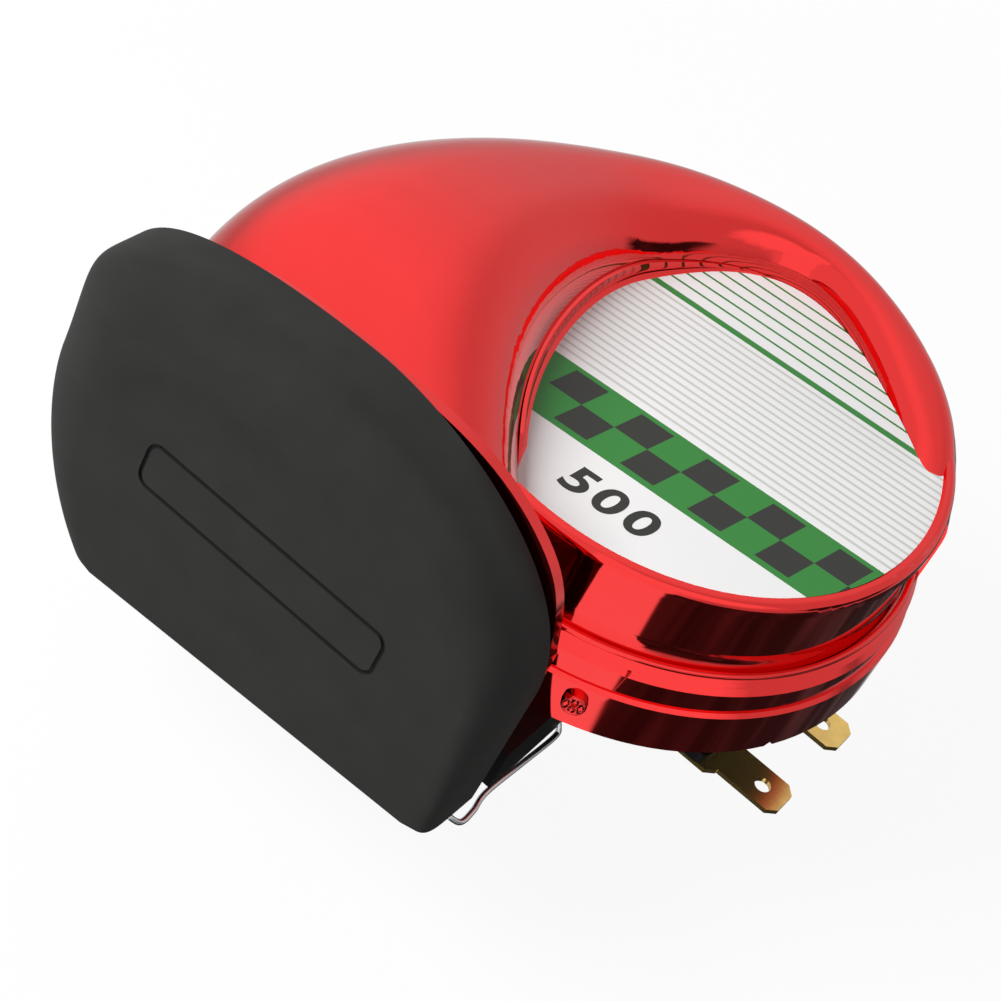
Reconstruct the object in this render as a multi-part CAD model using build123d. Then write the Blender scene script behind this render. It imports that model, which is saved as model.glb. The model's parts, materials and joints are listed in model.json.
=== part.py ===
from build123d import *
import math
import os

# Electric snail horn for a vehicle: a plated two-piece trumpet that spirals
# once round a flat face, a rubber rain cover over its mouth, and a steel
# driver at the back that holds the coil, the contact breaker and the stud.
#
# Frame: +Z is the horn's axis and points out of the printed face. The origin
# is the centre of the mounting seat, the outer face of the core nut. +X runs
# along the mouth's long side and along the terminals; the mouth faces -Y.
# A depth is measured down from the face plane, a height up from the seat.

# ---- face and side wall ----------------------------------------------------
SIDE_R = 36.3            # wall of the round body; the other radii follow it
FACE_Z = 43.5            # face plane above the mounting seat
WALL = 2.0               # moulded wall of both shells
LABEL_R = SIDE_R - 1.2
LABEL_T = 0.25
LABEL_GAP = 0.1          # label to the trumpet's inner wall
RECESS_R = LABEL_R + 0.3  # pocket that the label lies in
LIP_R = SIDE_R + 0.8
LIP_RISE = 0.6           # lip above the face plane
LIP_ROUND = 1.1
LIP_H = 2.2              # lip's height down to the neck of the wall
SIDE_DEPTH = 10.0        # where the wall starts to sweep out
FLANGE_R = SIDE_R + 2.7
FLANGE_DEPTH = 14.2
FLANGE_ROUND = 0.7
BEAD_R = 0.45            # bead on the sloping sweep
BEAD_OUT = 1.25          # bead's ring outside the side wall
BEAD_DEPTH = 12.6
STEP_DEPTH = 18.2
STEP_ROUND = 0.5
SKIRT_R = FLANGE_R + 0.7
SKIRT_DEPTH = 26.0
SKIRT_T = 2.2
SKIRT_INNER_R = SKIRT_R - SKIRT_T
NOTCH_ANGLE = -24.6      # V cut in the skirt's lower edge, from +X
NOTCH_HALF = 0.7
MARK_ANGLE = -66.8       # round moulding mark on the skirt
MARK_DEPTH = 21.6
MARK_R = 1.6
MARK_RISE = 0.25

# ---- spiral trumpet --------------------------------------------------------
INNER_WALL_R = SIDE_R - 7.8   # inner wall of the first part of the spiral
OUTER_WALL_R = SIDE_R + 2.2   # outer wall of the same part
ROUND_STATIONS = ((20, -1.2), (45, 2.4), (70, 4.3), (95, 5.7))  # angle, crown
WAIST_DEPTH = 8.0        # level where the first sections are widest
LOWEST_DEPTH = 33.1      # underside of the trumpet
# Inner and outer wall in plan at the full size, crown above the face plane,
# waist depth and the roundness of the crown's inner shoulder.
FREE_STATIONS = (
    ((-11.7, 20.3), (-19.8, 34.0), 6.6, 8.0, 3.0),
    ((-16.7, 10.6), (-34.6, 21.9), 7.9, 8.2, 3.0),
    ((-18.2, -0.5), (-46.8, 2.1), 11.0, 8.8, 2.9),
    ((-15.9, -13.0), (-53.2, -15.6), 13.2, 9.6, 2.8),
    ((-9.8, -26.0), (-55.4, -31.2), 13.4, 10.6, 2.7),
    ((-0.5, -37.5), (-54.2, -41.5), 11.6, 11.3, 2.6),
)
PLAN_R = 36.3            # side wall radius at which the points above hold
CROWN_POWER = 3.0        # superellipse powers: larger is squarer
OUTER_CROWN_POWER = 3.4
FLOOR_CORNERS = ((3.6, 3.6), (7.0, 7.0))   # outer one first
RIB_T = 1.8              # spiral rib under the face
# Angle and radius, as a share of the side wall's radius.
RIB_PATH = ((20, 0.81), (0, 0.785), (-30, 0.752), (-60, 0.725), (-90, 0.67),
            (-113, 0.512), (-140, 0.347), (-180, 0.264), (-215, 0.22))
PLATE_DEPTH = 18.0       # top of the rear shell's plate
PLATE_T = 1.8
SHELL_GAP = 0.15         # rear shell inside the front shell
TONGUE_T = 1.05          # rear shell's rim that stands inside the front wall

# ---- mouth -----------------------------------------------------------------
MOUTH_SIDE = 16.1        # centre of the mouth to the -X side of the body's edge
MOUTH_AHEAD = 12.2       # mouth's plane ahead of the body's edge
MOUTH_X = -(SIDE_R - MOUTH_SIDE)
MOUTH_Y = -(SIDE_R + MOUTH_AHEAD)
MOUTH_DEPTH = 11.5
MOUTH_TILT = 6.0         # lower edge leans forward, degrees
MOUTH_HALF_W = SIDE_R - 5.1   # outside of the trumpet at the mouth
MOUTH_HALF_H = LOWEST_DEPTH - MOUTH_DEPTH
MOUTH_INNER_POWER = 2.5
MOUTH_FLANGE_OVER = 2.2  # flange beyond the trumpet
MOUTH_FLANGE_T = 1.8
SILL_IN = 25.0           # square lower corner of the rear shell by the mouth
SILL_OUT = 3.2           # its side beyond the trumpet's
SILL_BEHIND = 1.9        # its end behind the mouth's plane
SILL_LENGTH = 20.6

# ---- rain cover ------------------------------------------------------------
COVER_WALL = 1.8
COVER_SHIFT = 2.2        # centre of its outline to the -X side of the mouth's
COVER_X = MOUTH_X - COVER_SHIFT
COVER_SIDES = (MOUTH_HALF_W + 5.3, MOUTH_HALF_W + 5.8)   # towards +X and -X
COVER_TOP = MOUTH_HALF_H + 4.0
COVER_LOW = MOUTH_HALF_H + 7.4
COVER_CROWN_POWERS = ((1.7, 2.2), (1.9, 5.6))
COVER_FLOOR_POWERS = ((6.3, 13.9), (2.85, 1.76))
COVER_DEPTH = 11.5       # from the mouth's plane to the cover's front
COVER_RIM = 0.8          # its rim ahead of the mouth's plane
COVER_ROLL = 7.2         # depth of the rolled edge of its front
COVER_ROLL_SIDES = (4.0, 9.4)   # how far the roll comes in at +X and -X
COVER_ROLL_TOP = 8.2
SPIGOT_T = 1.6           # collar that plugs into the mouth
SPIGOT_GAP = 0.15
SPIGOT_BACK = 3.2
LEDGE_T = 1.4            # ledge that joins the collar to the cover
LEDGE_IN = 3.0           # its edge inside the cover's outline
COVER_CUT = 22.0         # open lower side below the mouth's centre
COVER_CUT_TILT = 3.4     # the open side rises towards +X, degrees
GROOVE_HALF_L = 19.3     # oblong groove in its front
GROOVE_HALF_H = 3.6
GROOVE_ROUND = 2.0
GROOVE_W = 0.6
GROOVE_DEPTH = 0.5
GROOVE_SHIFT = 0.8       # groove centre to the -X side of the mouth's
GROOVE_DROP = 2.0        # groove centre below the mouth's centre

# ---- driver ----------------------------------------------------------------
SEAT_DEPTH = 22.0        # rear shell's seat for the gasket
DRIVER_GAP = 0.2
DRIVER_R = SKIRT_INNER_R - 0.7
SEAT_W = 6.3
SEAT_INNER_R = DRIVER_R - SEAT_W
GASKET_T = 0.8
DIAPHRAGM_T = 0.4
CAN_T = 1.2
CAN_R = DRIVER_R - 11.2
CAN_BACK_DEPTH = 39.0
CAN_ROUND = 2.4
CORRUGATION = (CAN_R - 7.6, CAN_R - 5.6, CAN_R - 1.6, CAN_R + 0.4)
CORRUGATION_RISE = 0.8
THROAT_R = 5.5
SCREW_CIRCLE_R = (DRIVER_R + SEAT_INNER_R) / 2
SCREW_COUNT = 6
SCREW_FIRST = 30.0
SCREW_R = 1.4
SCREW_LENGTH = 4.0
SCREW_HEAD_R = 2.6
SCREW_HEAD_T = 1.4
RECESS_L = 2.8           # cross recess of the screw
RECESS_W = 0.6
CLEAR_HOLE_R = 1.7
PILOT_HOLE_R = 1.45
DRIVER_CLEARANCE = 1.0   # rear shell's pocket behind the screw heads

STUD_R = 4.0
STUD_FREE = 14.0         # free stud behind the seat
STUD_CHAMFER = 0.8
STUD_HOLE_R = 4.2
RELIEF_R = 3.6           # thread relief inside the nut
RELIEF_H = 0.8
CORE_R = 8.0
CORE_CHAMFER = 0.4
CORE_GAP = 0.8           # air gap between core and armature
WASHER_T = 1.2
WASHER_R = 7.2
WASHER_SPLIT = 1.0
WASHER_SPLIT_ANGLE = 150
NUT_AF = 13.0
NUT_CHAMFER = 1.6
NUT_GAP = 0.05

ARMATURE_R = 7.4
ARMATURE_H = 4.4
COLLAR_R = 9.2
COLLAR_H = 2.3
TAIL_R = 2.5
TAIL_GAP = 0.1
HUB_R = 6.5              # washer on top of the diaphragm
HUB_T = 1.0
HUB_NUT_AF = 8.0
HUB_NUT_T = 2.0

BOBBIN_R = CAN_R - 8.2
BOBBIN_BORE_R = CORE_R + 0.3
BOBBIN_TUBE_T = 1.2
BOBBIN_FLANGE_T = 1.0
WINDING_R = BOBBIN_R - 0.6
WINDING_GAP = 0.05

# ---- contact breaker -------------------------------------------------------
PILLAR_Y = CAN_R - 5.2
PILLAR_R = 1.6
PILLAR_HOLE_R = 1.7
SPACER_R = 2.7
ARM_T = 0.4
ARM_W = 6.0
MOVING_ARM_DROP = 2.7    # upper arm's top below the can's rim
FIXED_ARM_DROP = 4.0     # lower arm's top below the can's rim
POINT_R = 1.4
POINT_Y = COLLAR_R + 3.4
MOVING_END_Y = COLLAR_R - 1.1
FIXED_END_Y = COLLAR_R + 1.4
TOP_SPACER_T = 0.8
PILLAR_HEAD_R = 2.4
PILLAR_HEAD_T = 0.6
ADJUSTER_AT = (8.4, PILLAR_Y - 1.8)
ADJUSTER_R = 2.0
ADJUSTER_GAP = 0.1
ADJUSTER_OUT = 3.3       # screw's end behind the can
ADJUSTER_SLOT_W = 0.8
ADJUSTER_SLOT_ANGLE = 35
ADJUSTER_NUT_AF = 7.0
ADJUSTER_NUT_T = 2.0

# ---- terminals -------------------------------------------------------------
TERMINAL_Y = 8.3
RIVET_X = CAN_R - 7.1
RIVET_R = 1.5
RIVET_GAP = 0.1
RIVET_HEAD_R = 2.5
RIVET_HEAD_T = 0.9
RIVET_WASHER_R = 2.6
RIVET_WASHER_T = 0.8
CARRIER_T = 2.0
CARRIER_X = (RIVET_X - 4.0, CAN_R + 4.4)
CARRIER_HALF_Y = 13.2
CARRIER_ROUND = 1.5
BLADE_T = 0.8
BLADE_W = 6.3
BLADE_TIP_X = SKIRT_R + 1.8
BLADE_CHAMFER = 1.3
SHOULDER_X = (RIVET_X - 2.5, CARRIER_X[1] + 1.8)
SHOULDER_W = 9.4
BLADE_OVERLAP = 5.0      # tab and root share this much
BLADE_HOLE_R = 1.2
BLADE_HOLE_BACK = 3.9    # latch hole behind the tip

# ---- levels worked out from the sizes above --------------------------------
DIAPHRAGM_DEPTH = SEAT_DEPTH + GASKET_T
CAN_FLANGE_DEPTH = DIAPHRAGM_DEPTH + DIAPHRAGM_T
HEADS_DEPTH = CAN_FLANGE_DEPTH + CAN_T + SCREW_HEAD_T
ARMATURE_DEPTH = CAN_FLANGE_DEPTH + ARMATURE_H
CORE_DEPTH = ARMATURE_DEPTH + CORE_GAP
BOBBIN_DEPTH = ARMATURE_DEPTH + 0.7
MOVING_ARM_DEPTH = CAN_FLANGE_DEPTH + MOVING_ARM_DROP
FIXED_ARM_DEPTH = CAN_FLANGE_DEPTH + FIXED_ARM_DROP
CAN_FLOOR_DEPTH = CAN_BACK_DEPTH - CAN_T
CARRIER_DEPTH = CAN_BACK_DEPTH + CARRIER_T
FAR = SIDE_R + FACE_Z    # beyond every surface, for cutting shapes


def at_depth(depth):
    """Height above the seat of a point that lies depth below the face."""
    return FACE_Z - depth


def polar(radius, degrees):
    """Point in plan at a radius and an angle from +X."""
    turn = math.radians(degrees)
    return radius * math.cos(turn), radius * math.sin(turn)


def revolved(*corners):
    """Solid of revolution about Z from (radius, depth) corners."""
    outline = Polyline(*[(r, 0, at_depth(depth)) for r, depth in corners], close=True)
    return revolve(make_face(outline), Axis.Z)


def ring(inner, outer, top, bottom):
    """Flat ring, or a disc where inner is 0, between two depths."""
    return revolved((inner, bottom), (outer, bottom), (outer, top), (inner, top))


def block(x_range, y_range, depth_range):
    """Box between pairs of limits."""
    z_range = [at_depth(depth) for depth in reversed(depth_range)]
    size = [high - low for low, high in (x_range, y_range, z_range)]
    middle = [(high + low) / 2 for low, high in (x_range, y_range, z_range)]
    return Pos(*middle) * Box(*size)


def post(x, y, radius, top, bottom):
    """Round post or hole at a plan point between two depths."""
    return Pos(x, y) * ring(0, radius, top, bottom)


def hexagon(across_flats, top, bottom, x=0.0, y=0.0):
    """Hexagonal prism between two depths."""
    side = Pos(x, y, at_depth(bottom)) * RegularPolygon(across_flats / 2, 6, major_radius=False)
    return extrude(side, amount=bottom - top)


# ---- sections of the trumpet -----------------------------------------------
def quarter(wide, high, steps=3):
    """Quarter of a unit superellipse, evenly spaced from its side to its top."""
    turn_w, turn_u = 0.5 ** (1 / high), 0.5 ** (1 / wide)
    rise = [turn_w * n / steps for n in range(steps)]
    run = [turn_u * (1 - n / steps) for n in range(steps + 1)]
    side = [((1 - w ** high) ** (1 / wide), w) for w in rise]
    return side + [(u, (1 - u ** wide) ** (1 / high)) for u in run]


class Section:
    """Closed superellipse in a plane, with its own powers for each corner.

    The first half runs towards +across and the second towards -across. Each
    corner has a pair of powers, one along across and one along up.
    """

    def __init__(self, centre, across, up, halves, rise, drop, crown, floor):
        self.centre = Vector(*centre)
        self.across = Vector(*across).normalized()
        self.up = Vector(*up).normalized()
        self.halves = halves
        self.rise = rise
        self.drop = drop
        self.crown = crown
        self.floor = floor

    def arch(self, height, corners, inset):
        """Spline over one half, from +across to -across."""
        first = quarter(*corners[0])
        second = [(-u, w) for u, w in reversed(quarter(*corners[1])[:-1])]
        points = []
        for u, w in first + second:
            half = self.halves[0 if u > 0 else 1] - inset
            points.append(self.centre + self.across * u * half + self.up * w * height)
        out = self.up * math.copysign(1, height)
        return Spline(*points, tangents=(out, -out))

    def wire(self, inset=0.0, floor_inset=None):
        """Whole outline, moved inwards by inset, or by floor_inset at the floor."""
        lower = inset if floor_inset is None else floor_inset
        return Wire([self.arch(self.rise - inset, self.crown, inset),
                     self.arch(lower - self.drop, self.floor, inset)])


def spread(point):
    """Plan point moved with the body's radius."""
    return point[0] * SIDE_R / PLAN_R, point[1] * SIDE_R / PLAN_R


def station(inner, outer, crown, waist, inner_power=CROWN_POWER):
    """Upright section between two plan points."""
    across = Vector(outer[0] - inner[0], outer[1] - inner[1], 0)
    centre = ((inner[0] + outer[0]) / 2, (inner[1] + outer[1]) / 2, at_depth(waist))
    half = across.length / 2
    return Section(centre, across, (0, 0, 1), (half, half), crown + waist, LOWEST_DEPTH - waist,
                   crown_corners(inner_power), FLOOR_CORNERS)


def crown_corners(inner_power):
    """Powers of a section's upper corners, outer one first."""
    return (OUTER_CROWN_POWER, OUTER_CROWN_POWER), (inner_power, inner_power)


def mouth_up():
    """Direction up the mouth's leaning plane."""
    tilt = math.radians(MOUTH_TILT)
    return Vector(0, math.sin(tilt), math.cos(tilt))


def mouth_out():
    """Direction out of the mouth."""
    tilt = math.radians(MOUTH_TILT)
    return Vector(0, -math.cos(tilt), math.sin(tilt))


def mouth_centre(ahead):
    """Middle of the mouth, moved ahead of the mouth's plane."""
    return Vector(MOUTH_X, MOUTH_Y, at_depth(MOUTH_DEPTH)) + mouth_out() * ahead


def mouth_section(grow=0.0, ahead=0.0):
    """Mouth's outline, grown by grow and moved ahead of the mouth's plane."""
    half, size = MOUTH_HALF_W + grow, MOUTH_HALF_H + grow
    return Section(mouth_centre(ahead), (-1, 0, 0), mouth_up(), (half, half), size, size,
                   crown_corners(MOUTH_INNER_POWER), FLOOR_CORNERS)


def mouth_frame(ahead):
    """Plane parallel to the mouth, with x along +X and y up."""
    return Plane(origin=mouth_centre(ahead), x_dir=(1, 0, 0), z_dir=mouth_out())


def trumpet(inset=0.0, floor_inset=None):
    """Solid trumpet from the spiral's blind start to its mouth."""
    sections = []
    for degrees, crown in ROUND_STATIONS:
        inner, outer = polar(INNER_WALL_R, degrees), polar(OUTER_WALL_R, degrees)
        sections.append(station(inner, outer, crown, WAIST_DEPTH))
    sections += [station(spread(inner), spread(outer), *rest) for inner, outer, *rest in FREE_STATIONS]
    sections.append(mouth_section())
    return Solid.make_loft([s.wire(inset, floor_inset) for s in sections])


def prism(outline, grow, back, front):
    """Prism of the mouth's or the cover's outline between two distances."""
    return Solid.make_loft([outline(grow, ahead).wire() for ahead in (back, front)], ruled=True)


# ---- shells ----------------------------------------------------------------
def side_wall():
    """Round body: lip, wall, sweep out to the flange, step and skirt."""
    sweep_mid = (SIDE_R + 0.55, (SIDE_DEPTH + FLANGE_DEPTH) / 2 + 0.55)
    lip_mid = LIP_ROUND * (1 - math.sqrt(0.5))

    def p(radius, depth):
        return radius, 0, at_depth(depth)

    foot = Line(p(0, SKIRT_DEPTH), p(SKIRT_R, SKIRT_DEPTH))
    skirt = Line(foot @ 1, p(SKIRT_R, STEP_DEPTH + STEP_ROUND))
    shoulder = Line(skirt @ 1, p(SKIRT_R - STEP_ROUND, STEP_DEPTH))
    tread = Line(shoulder @ 1, p(FLANGE_R, STEP_DEPTH))
    rim = Line(tread @ 1, p(FLANGE_R, FLANGE_DEPTH + FLANGE_ROUND))
    corner = Line(rim @ 1, p(FLANGE_R - FLANGE_ROUND, FLANGE_DEPTH))
    sweep = ThreePointArc(corner @ 1, p(*sweep_mid), p(SIDE_R, SIDE_DEPTH))
    wall = Line(sweep @ 1, p(SIDE_R, LIP_H))
    under = Line(wall @ 1, p(LIP_R, LIP_H - (LIP_R - SIDE_R)))
    lip = Line(under @ 1, p(LIP_R, LIP_ROUND - LIP_RISE))
    curl = ThreePointArc(lip @ 1, p(LIP_R - lip_mid, lip_mid - LIP_RISE),
                         p(LIP_R - LIP_ROUND, -LIP_RISE))
    top = Line(curl @ 1, p(0, -LIP_RISE))
    axis = Line(top @ 1, foot @ 0)
    outline = [foot, skirt, shoulder, tread, rim, corner, sweep, wall, under, lip, curl, top, axis]
    return revolve(make_face(outline), Axis.Z)


def spiral_rib():
    """Spiral rib under the face, from the throat to the trumpet's start."""
    inner = Spline(*[polar(share * SIDE_R - RIB_T / 2, degrees) for degrees, share in RIB_PATH])
    outer = Spline(*[polar(share * SIDE_R + RIB_T / 2, degrees) for degrees, share in RIB_PATH])
    ends = [Line(inner @ 0, outer @ 0), Line(inner @ 1, outer @ 1)]
    face = Pos(0, 0, at_depth(PLATE_DEPTH)) * make_face([inner, outer] + ends)
    return extrude(face, amount=PLATE_DEPTH - WALL / 2)


def mouth_flange():
    """Flange round the whole mouth, before it is split between the shells."""
    return prism(mouth_section, MOUTH_FLANGE_OVER, -MOUTH_FLANGE_T, 0)


def front_shell(horn, bore):
    """Plated upper shell: face, side wall, upper trumpet and upper flange."""
    shell = side_wall() - ring(0, RECESS_R, -FAR, 0)
    shell += spiral_bead()
    shell = shell + horn + mouth_flange()
    shell -= block((-FAR * 2, FAR * 2), (-FAR * 2, FAR * 2), (SKIRT_DEPTH, FAR * 2))
    chamber = ring(0, SIDE_R - WALL, WALL, PLATE_DEPTH) - horn
    shell -= chamber - spiral_rib()
    shell -= bore
    shell -= ring(0, SKIRT_INNER_R, PLATE_DEPTH, FAR)
    notch = Pos(*polar(SKIRT_R, NOTCH_ANGLE), at_depth(SKIRT_DEPTH)) * Rot(0, 0, NOTCH_ANGLE)
    side = NOTCH_HALF * math.sqrt(2)
    shell -= notch * Rot(45, 0, 0) * Box(SKIRT_T * 3, side, side)
    spot = Pos(*polar(SKIRT_R, MARK_ANGLE), at_depth(MARK_DEPTH)) * Rot(0, 0, MARK_ANGLE)
    shell += spot * Rot(0, 90, 0) * Cylinder(MARK_R, MARK_RISE * 2 + 1)
    return shell


def spiral_bead():
    """Fine bead that runs round the sweep."""
    return Pos(0, 0, at_depth(BEAD_DEPTH)) * Torus(SIDE_R + BEAD_OUT, BEAD_R)


def rear_shell(horn, bore):
    """Black lower shell: plate, throat, gasket seat and the mouth's lower part."""
    inside = WALL + SHELL_GAP
    nested = trumpet(inside) & block((-FAR * 2, FAR), (-FAR * 2, FAR), (PLATE_DEPTH, SKIRT_DEPTH))
    below = block((-FAR * 2, FAR), (-FAR * 2, FAR), (SKIRT_DEPTH, FAR))
    plate_r = SKIRT_INNER_R - DRIVER_GAP
    shell = ring(0, plate_r, PLATE_DEPTH, PLATE_DEPTH + PLATE_T)
    shell += ring(SEAT_INNER_R, plate_r, PLATE_DEPTH, SEAT_DEPTH)
    shell += nested
    shell += (horn + mouth_flange()) & below
    side = MOUTH_X + MOUTH_HALF_W + SILL_OUT
    end = MOUTH_Y + SILL_BEHIND
    shell += block((side - SILL_IN, side), (end, end + SILL_LENGTH), (SKIRT_DEPTH, LOWEST_DEPTH))
    driver_wall = ring(0, SKIRT_INNER_R + WALL, PLATE_DEPTH, FAR)
    floor = trumpet(inside + TONGUE_T, WALL)
    sill = block((side - SILL_IN - WALL, side - WALL), (-FAR, end + SILL_LENGTH),
                 (SKIRT_DEPTH + WALL, LOWEST_DEPTH - WALL))
    shell -= (floor + sill) - driver_wall
    shell -= ring(0, SEAT_INNER_R, PLATE_DEPTH + PLATE_T, FAR)
    shell -= ring(0, SKIRT_INNER_R, SEAT_DEPTH, HEADS_DEPTH + DRIVER_CLEARANCE)
    behind = block((-FAR * 2, FAR), (end + SILL_LENGTH + WALL, FAR), (SEAT_DEPTH, FAR))
    shell -= ring(0, SKIRT_INNER_R, SEAT_DEPTH, FAR) & behind
    shell -= ring(0, THROAT_R, 0, FAR)
    for x, y in screw_places():
        shell -= post(x, y, PILOT_HOLE_R, CAN_FLANGE_DEPTH + CAN_T - SCREW_LENGTH - 0.2, FAR)
    return shell


def screw_places():
    """Plan points of the screws that hold the driver to the rear shell."""
    step = 360 / SCREW_COUNT
    return [polar(SCREW_CIRCLE_R, SCREW_FIRST + step * n) for n in range(SCREW_COUNT)]


# ---- rain cover ------------------------------------------------------------
def cover_section(grow=0.0, ahead=0.0, pull=0.0):
    """Cover's outline, grown by grow; pull is the share of the roll's width."""
    centre = mouth_centre(ahead) + Vector(COVER_X - MOUTH_X, 0, 0)
    halves = [half + grow - side * pull for half, side in zip(COVER_SIDES, COVER_ROLL_SIDES)]
    rise = COVER_TOP + grow - COVER_ROLL_TOP * pull
    return Section(centre, (1, 0, 0), mouth_up(), halves, rise, COVER_LOW + grow,
                   COVER_CROWN_POWERS, COVER_FLOOR_POWERS)


def cover_body(inset):
    """Solid with the cover's outline and a rolled front edge, inside by inset."""
    roll = COVER_ROLL - inset
    start = COVER_DEPTH - COVER_ROLL
    sections = []
    for degrees in (0, 30, 60, 90):
        turn = math.radians(degrees)
        pull = (1 - math.cos(turn)) * roll / COVER_ROLL
        sections.append(cover_section(-inset, start + roll * math.sin(turn), pull))
    nose = Solid.make_loft([section.wire() for section in sections])
    return prism(cover_section, -inset, COVER_RIM, start) + nose


def mouth_box(low_v, ahead):
    """Large box in the mouth's frame: below a level, and between two distances."""
    depth = ahead[1] - ahead[0]
    return Pos(0, low_v - FAR, ahead[0] + depth / 2) * Box(FAR * 4, FAR * 2, depth)


def mouth_collar():
    """Collar of the cover that plugs into the trumpet's bore."""
    fit = WALL + SPIGOT_GAP
    reach = mouth_frame(0) * mouth_box(FAR * 2, (-SPIGOT_BACK, 0))
    inside = trumpet(fit) & reach
    collar = inside - trumpet(fit + SPIGOT_T)
    ledge = prism(cover_section, -LEDGE_IN, 0, COVER_RIM)
    ledge += prism(cover_section, -COVER_WALL / 2, COVER_RIM, LEDGE_T)
    ledge -= prism(mouth_section, -fit - SPIGOT_T, -LEDGE_T, LEDGE_T * 2)
    return collar + ledge


def mouth_cover():
    """Rubber rain cover: cap that is open below, on a collar in the mouth."""
    cover = cover_body(0) - cover_body(COVER_WALL)
    open_side = Rot(0, 0, COVER_CUT_TILT) * mouth_box(-COVER_CUT, (LEDGE_T, FAR))
    cover -= mouth_frame(0) * open_side
    cover += mouth_collar()
    below = -MOUTH_HALF_H - MOUTH_FLANGE_OVER
    cover -= mouth_frame(0) * mouth_box(below, (-LEDGE_T, COVER_DEPTH))
    size = (GROOVE_HALF_L * 2, GROOVE_HALF_H * 2)
    band = RectangleRounded(*size, GROOVE_ROUND)
    band -= RectangleRounded(size[0] - GROOVE_W * 2, size[1] - GROOVE_W * 2, GROOVE_ROUND - GROOVE_W)
    front = mouth_frame(COVER_DEPTH - GROOVE_DEPTH) * Pos(-GROOVE_SHIFT, -GROOVE_DROP)
    return cover - extrude(front * band, amount=GROOVE_DEPTH * 2)


# ---- driver ----------------------------------------------------------------
def drilled(shape, radius, top, bottom):
    """Shape with a clearance hole at each driver screw."""
    for x, y in screw_places():
        shape -= post(x, y, radius, top, bottom)
    return shape


def gasket():
    """Flat sealing ring between the rear shell and the diaphragm."""
    flat = ring(SEAT_INNER_R, DRIVER_R, SEAT_DEPTH, DIAPHRAGM_DEPTH)
    return drilled(flat, CLEAR_HOLE_R, 0, FAR)


def diaphragm():
    """Spring steel disc with one ring corrugation and a centre hole."""
    a, b, c, d = CORRUGATION
    top, low = DIAPHRAGM_DEPTH, CAN_FLANGE_DEPTH
    rise = CORRUGATION_RISE
    hole = TAIL_R + TAIL_GAP
    disc = revolved((hole, low), (a, low), (b, low - rise), (c, low - rise), (d, low),
                    (DRIVER_R, low), (DRIVER_R, top), (d, top), (c, top - rise),
                    (b, top - rise), (a, top), (hole, top))
    return drilled(disc, CLEAR_HOLE_R, 0, FAR)


def driver_can():
    """Pressed steel can with a flat rim, holes for the stud and the rivets."""
    top, rim = CAN_FLANGE_DEPTH, CAN_FLANGE_DEPTH + CAN_T
    outer = revolved((0, top), (DRIVER_R, top), (DRIVER_R, rim), (CAN_R, rim),
                     (CAN_R, CAN_BACK_DEPTH), (0, CAN_BACK_DEPTH))
    foot = outer.edges().filter_by(GeomType.CIRCLE).sort_by(Axis.Z)[0]
    outer = fillet(foot, CAN_ROUND)
    inner = revolved((0, top), (CAN_R - CAN_T, top), (CAN_R - CAN_T, CAN_FLOOR_DEPTH),
                     (0, CAN_FLOOR_DEPTH))
    floor = inner.edges().filter_by(GeomType.CIRCLE).sort_by(Axis.Z)[0]
    can = outer - fillet(floor, CAN_ROUND - CAN_T)
    can = drilled(can, CLEAR_HOLE_R, 0, FAR)
    can -= ring(0, STUD_HOLE_R, 0, FAR)
    can -= post(0, PILLAR_Y, PILLAR_HOLE_R, 0, FAR)
    can -= post(*ADJUSTER_AT, ADJUSTER_R + ADJUSTER_GAP, 0, FAR)
    for side in (-1, 1):
        can -= post(RIVET_X, side * TERMINAL_Y, RIVET_R + 2 * RIVET_GAP, 0, FAR)
    return can


def driver_screw(x, y):
    """Pan head screw with a cross recess, driven up into the rear shell."""
    seat = CAN_FLANGE_DEPTH + CAN_T
    head = post(x, y, SCREW_HEAD_R, seat, seat + SCREW_HEAD_T)
    rim = head.edges().filter_by(GeomType.CIRCLE).sort_by(Axis.Z)[0]
    screw = fillet(rim, SCREW_HEAD_T * 0.45)
    screw += post(x, y, SCREW_R, seat - SCREW_LENGTH, seat)
    for turn in (0, 90):
        slot = Pos(x, y, at_depth(seat + SCREW_HEAD_T)) * Rot(0, 0, turn)
        screw -= slot * Box(RECESS_L, RECESS_W, RECESS_W * 2)
    return screw


def core_stud():
    """Fixed core and mounting stud, turned as one piece."""
    end = FACE_Z + STUD_FREE
    relief = FACE_Z - RELIEF_H
    bevel = CORE_CHAMFER
    return revolved((0, CORE_DEPTH), (CORE_R - bevel, CORE_DEPTH), (CORE_R, CORE_DEPTH + bevel),
                    (CORE_R, CAN_FLOOR_DEPTH), (STUD_R, CAN_FLOOR_DEPTH), (STUD_R, relief),
                    (RELIEF_R, relief), (RELIEF_R, FACE_Z), (STUD_R, FACE_Z),
                    (STUD_R, end - STUD_CHAMFER), (STUD_R - STUD_CHAMFER, end), (0, end))


def core_washer():
    """Split spring washer under the core nut."""
    washer = ring(STUD_HOLE_R, WASHER_R, CAN_BACK_DEPTH, CAN_BACK_DEPTH + WASHER_T)
    gap = Rot(0, 0, WASHER_SPLIT_ANGLE) * block((0, FAR), (-WASHER_SPLIT / 2, WASHER_SPLIT / 2), (0, FAR))
    return washer - gap


def core_nut():
    """Thin hexagon nut that clamps the core; its outer face is the seat."""
    nut = hexagon(NUT_AF, CAN_BACK_DEPTH + WASHER_T, FACE_Z)
    cone = revolved((0, 0), (NUT_AF, 0), (NUT_AF, FACE_Z - NUT_CHAMFER),
                    (NUT_AF / 2 - NUT_GAP, FACE_Z), (0, FACE_Z))
    return (nut & cone) - ring(0, STUD_R + NUT_GAP, 0, FAR)


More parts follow.
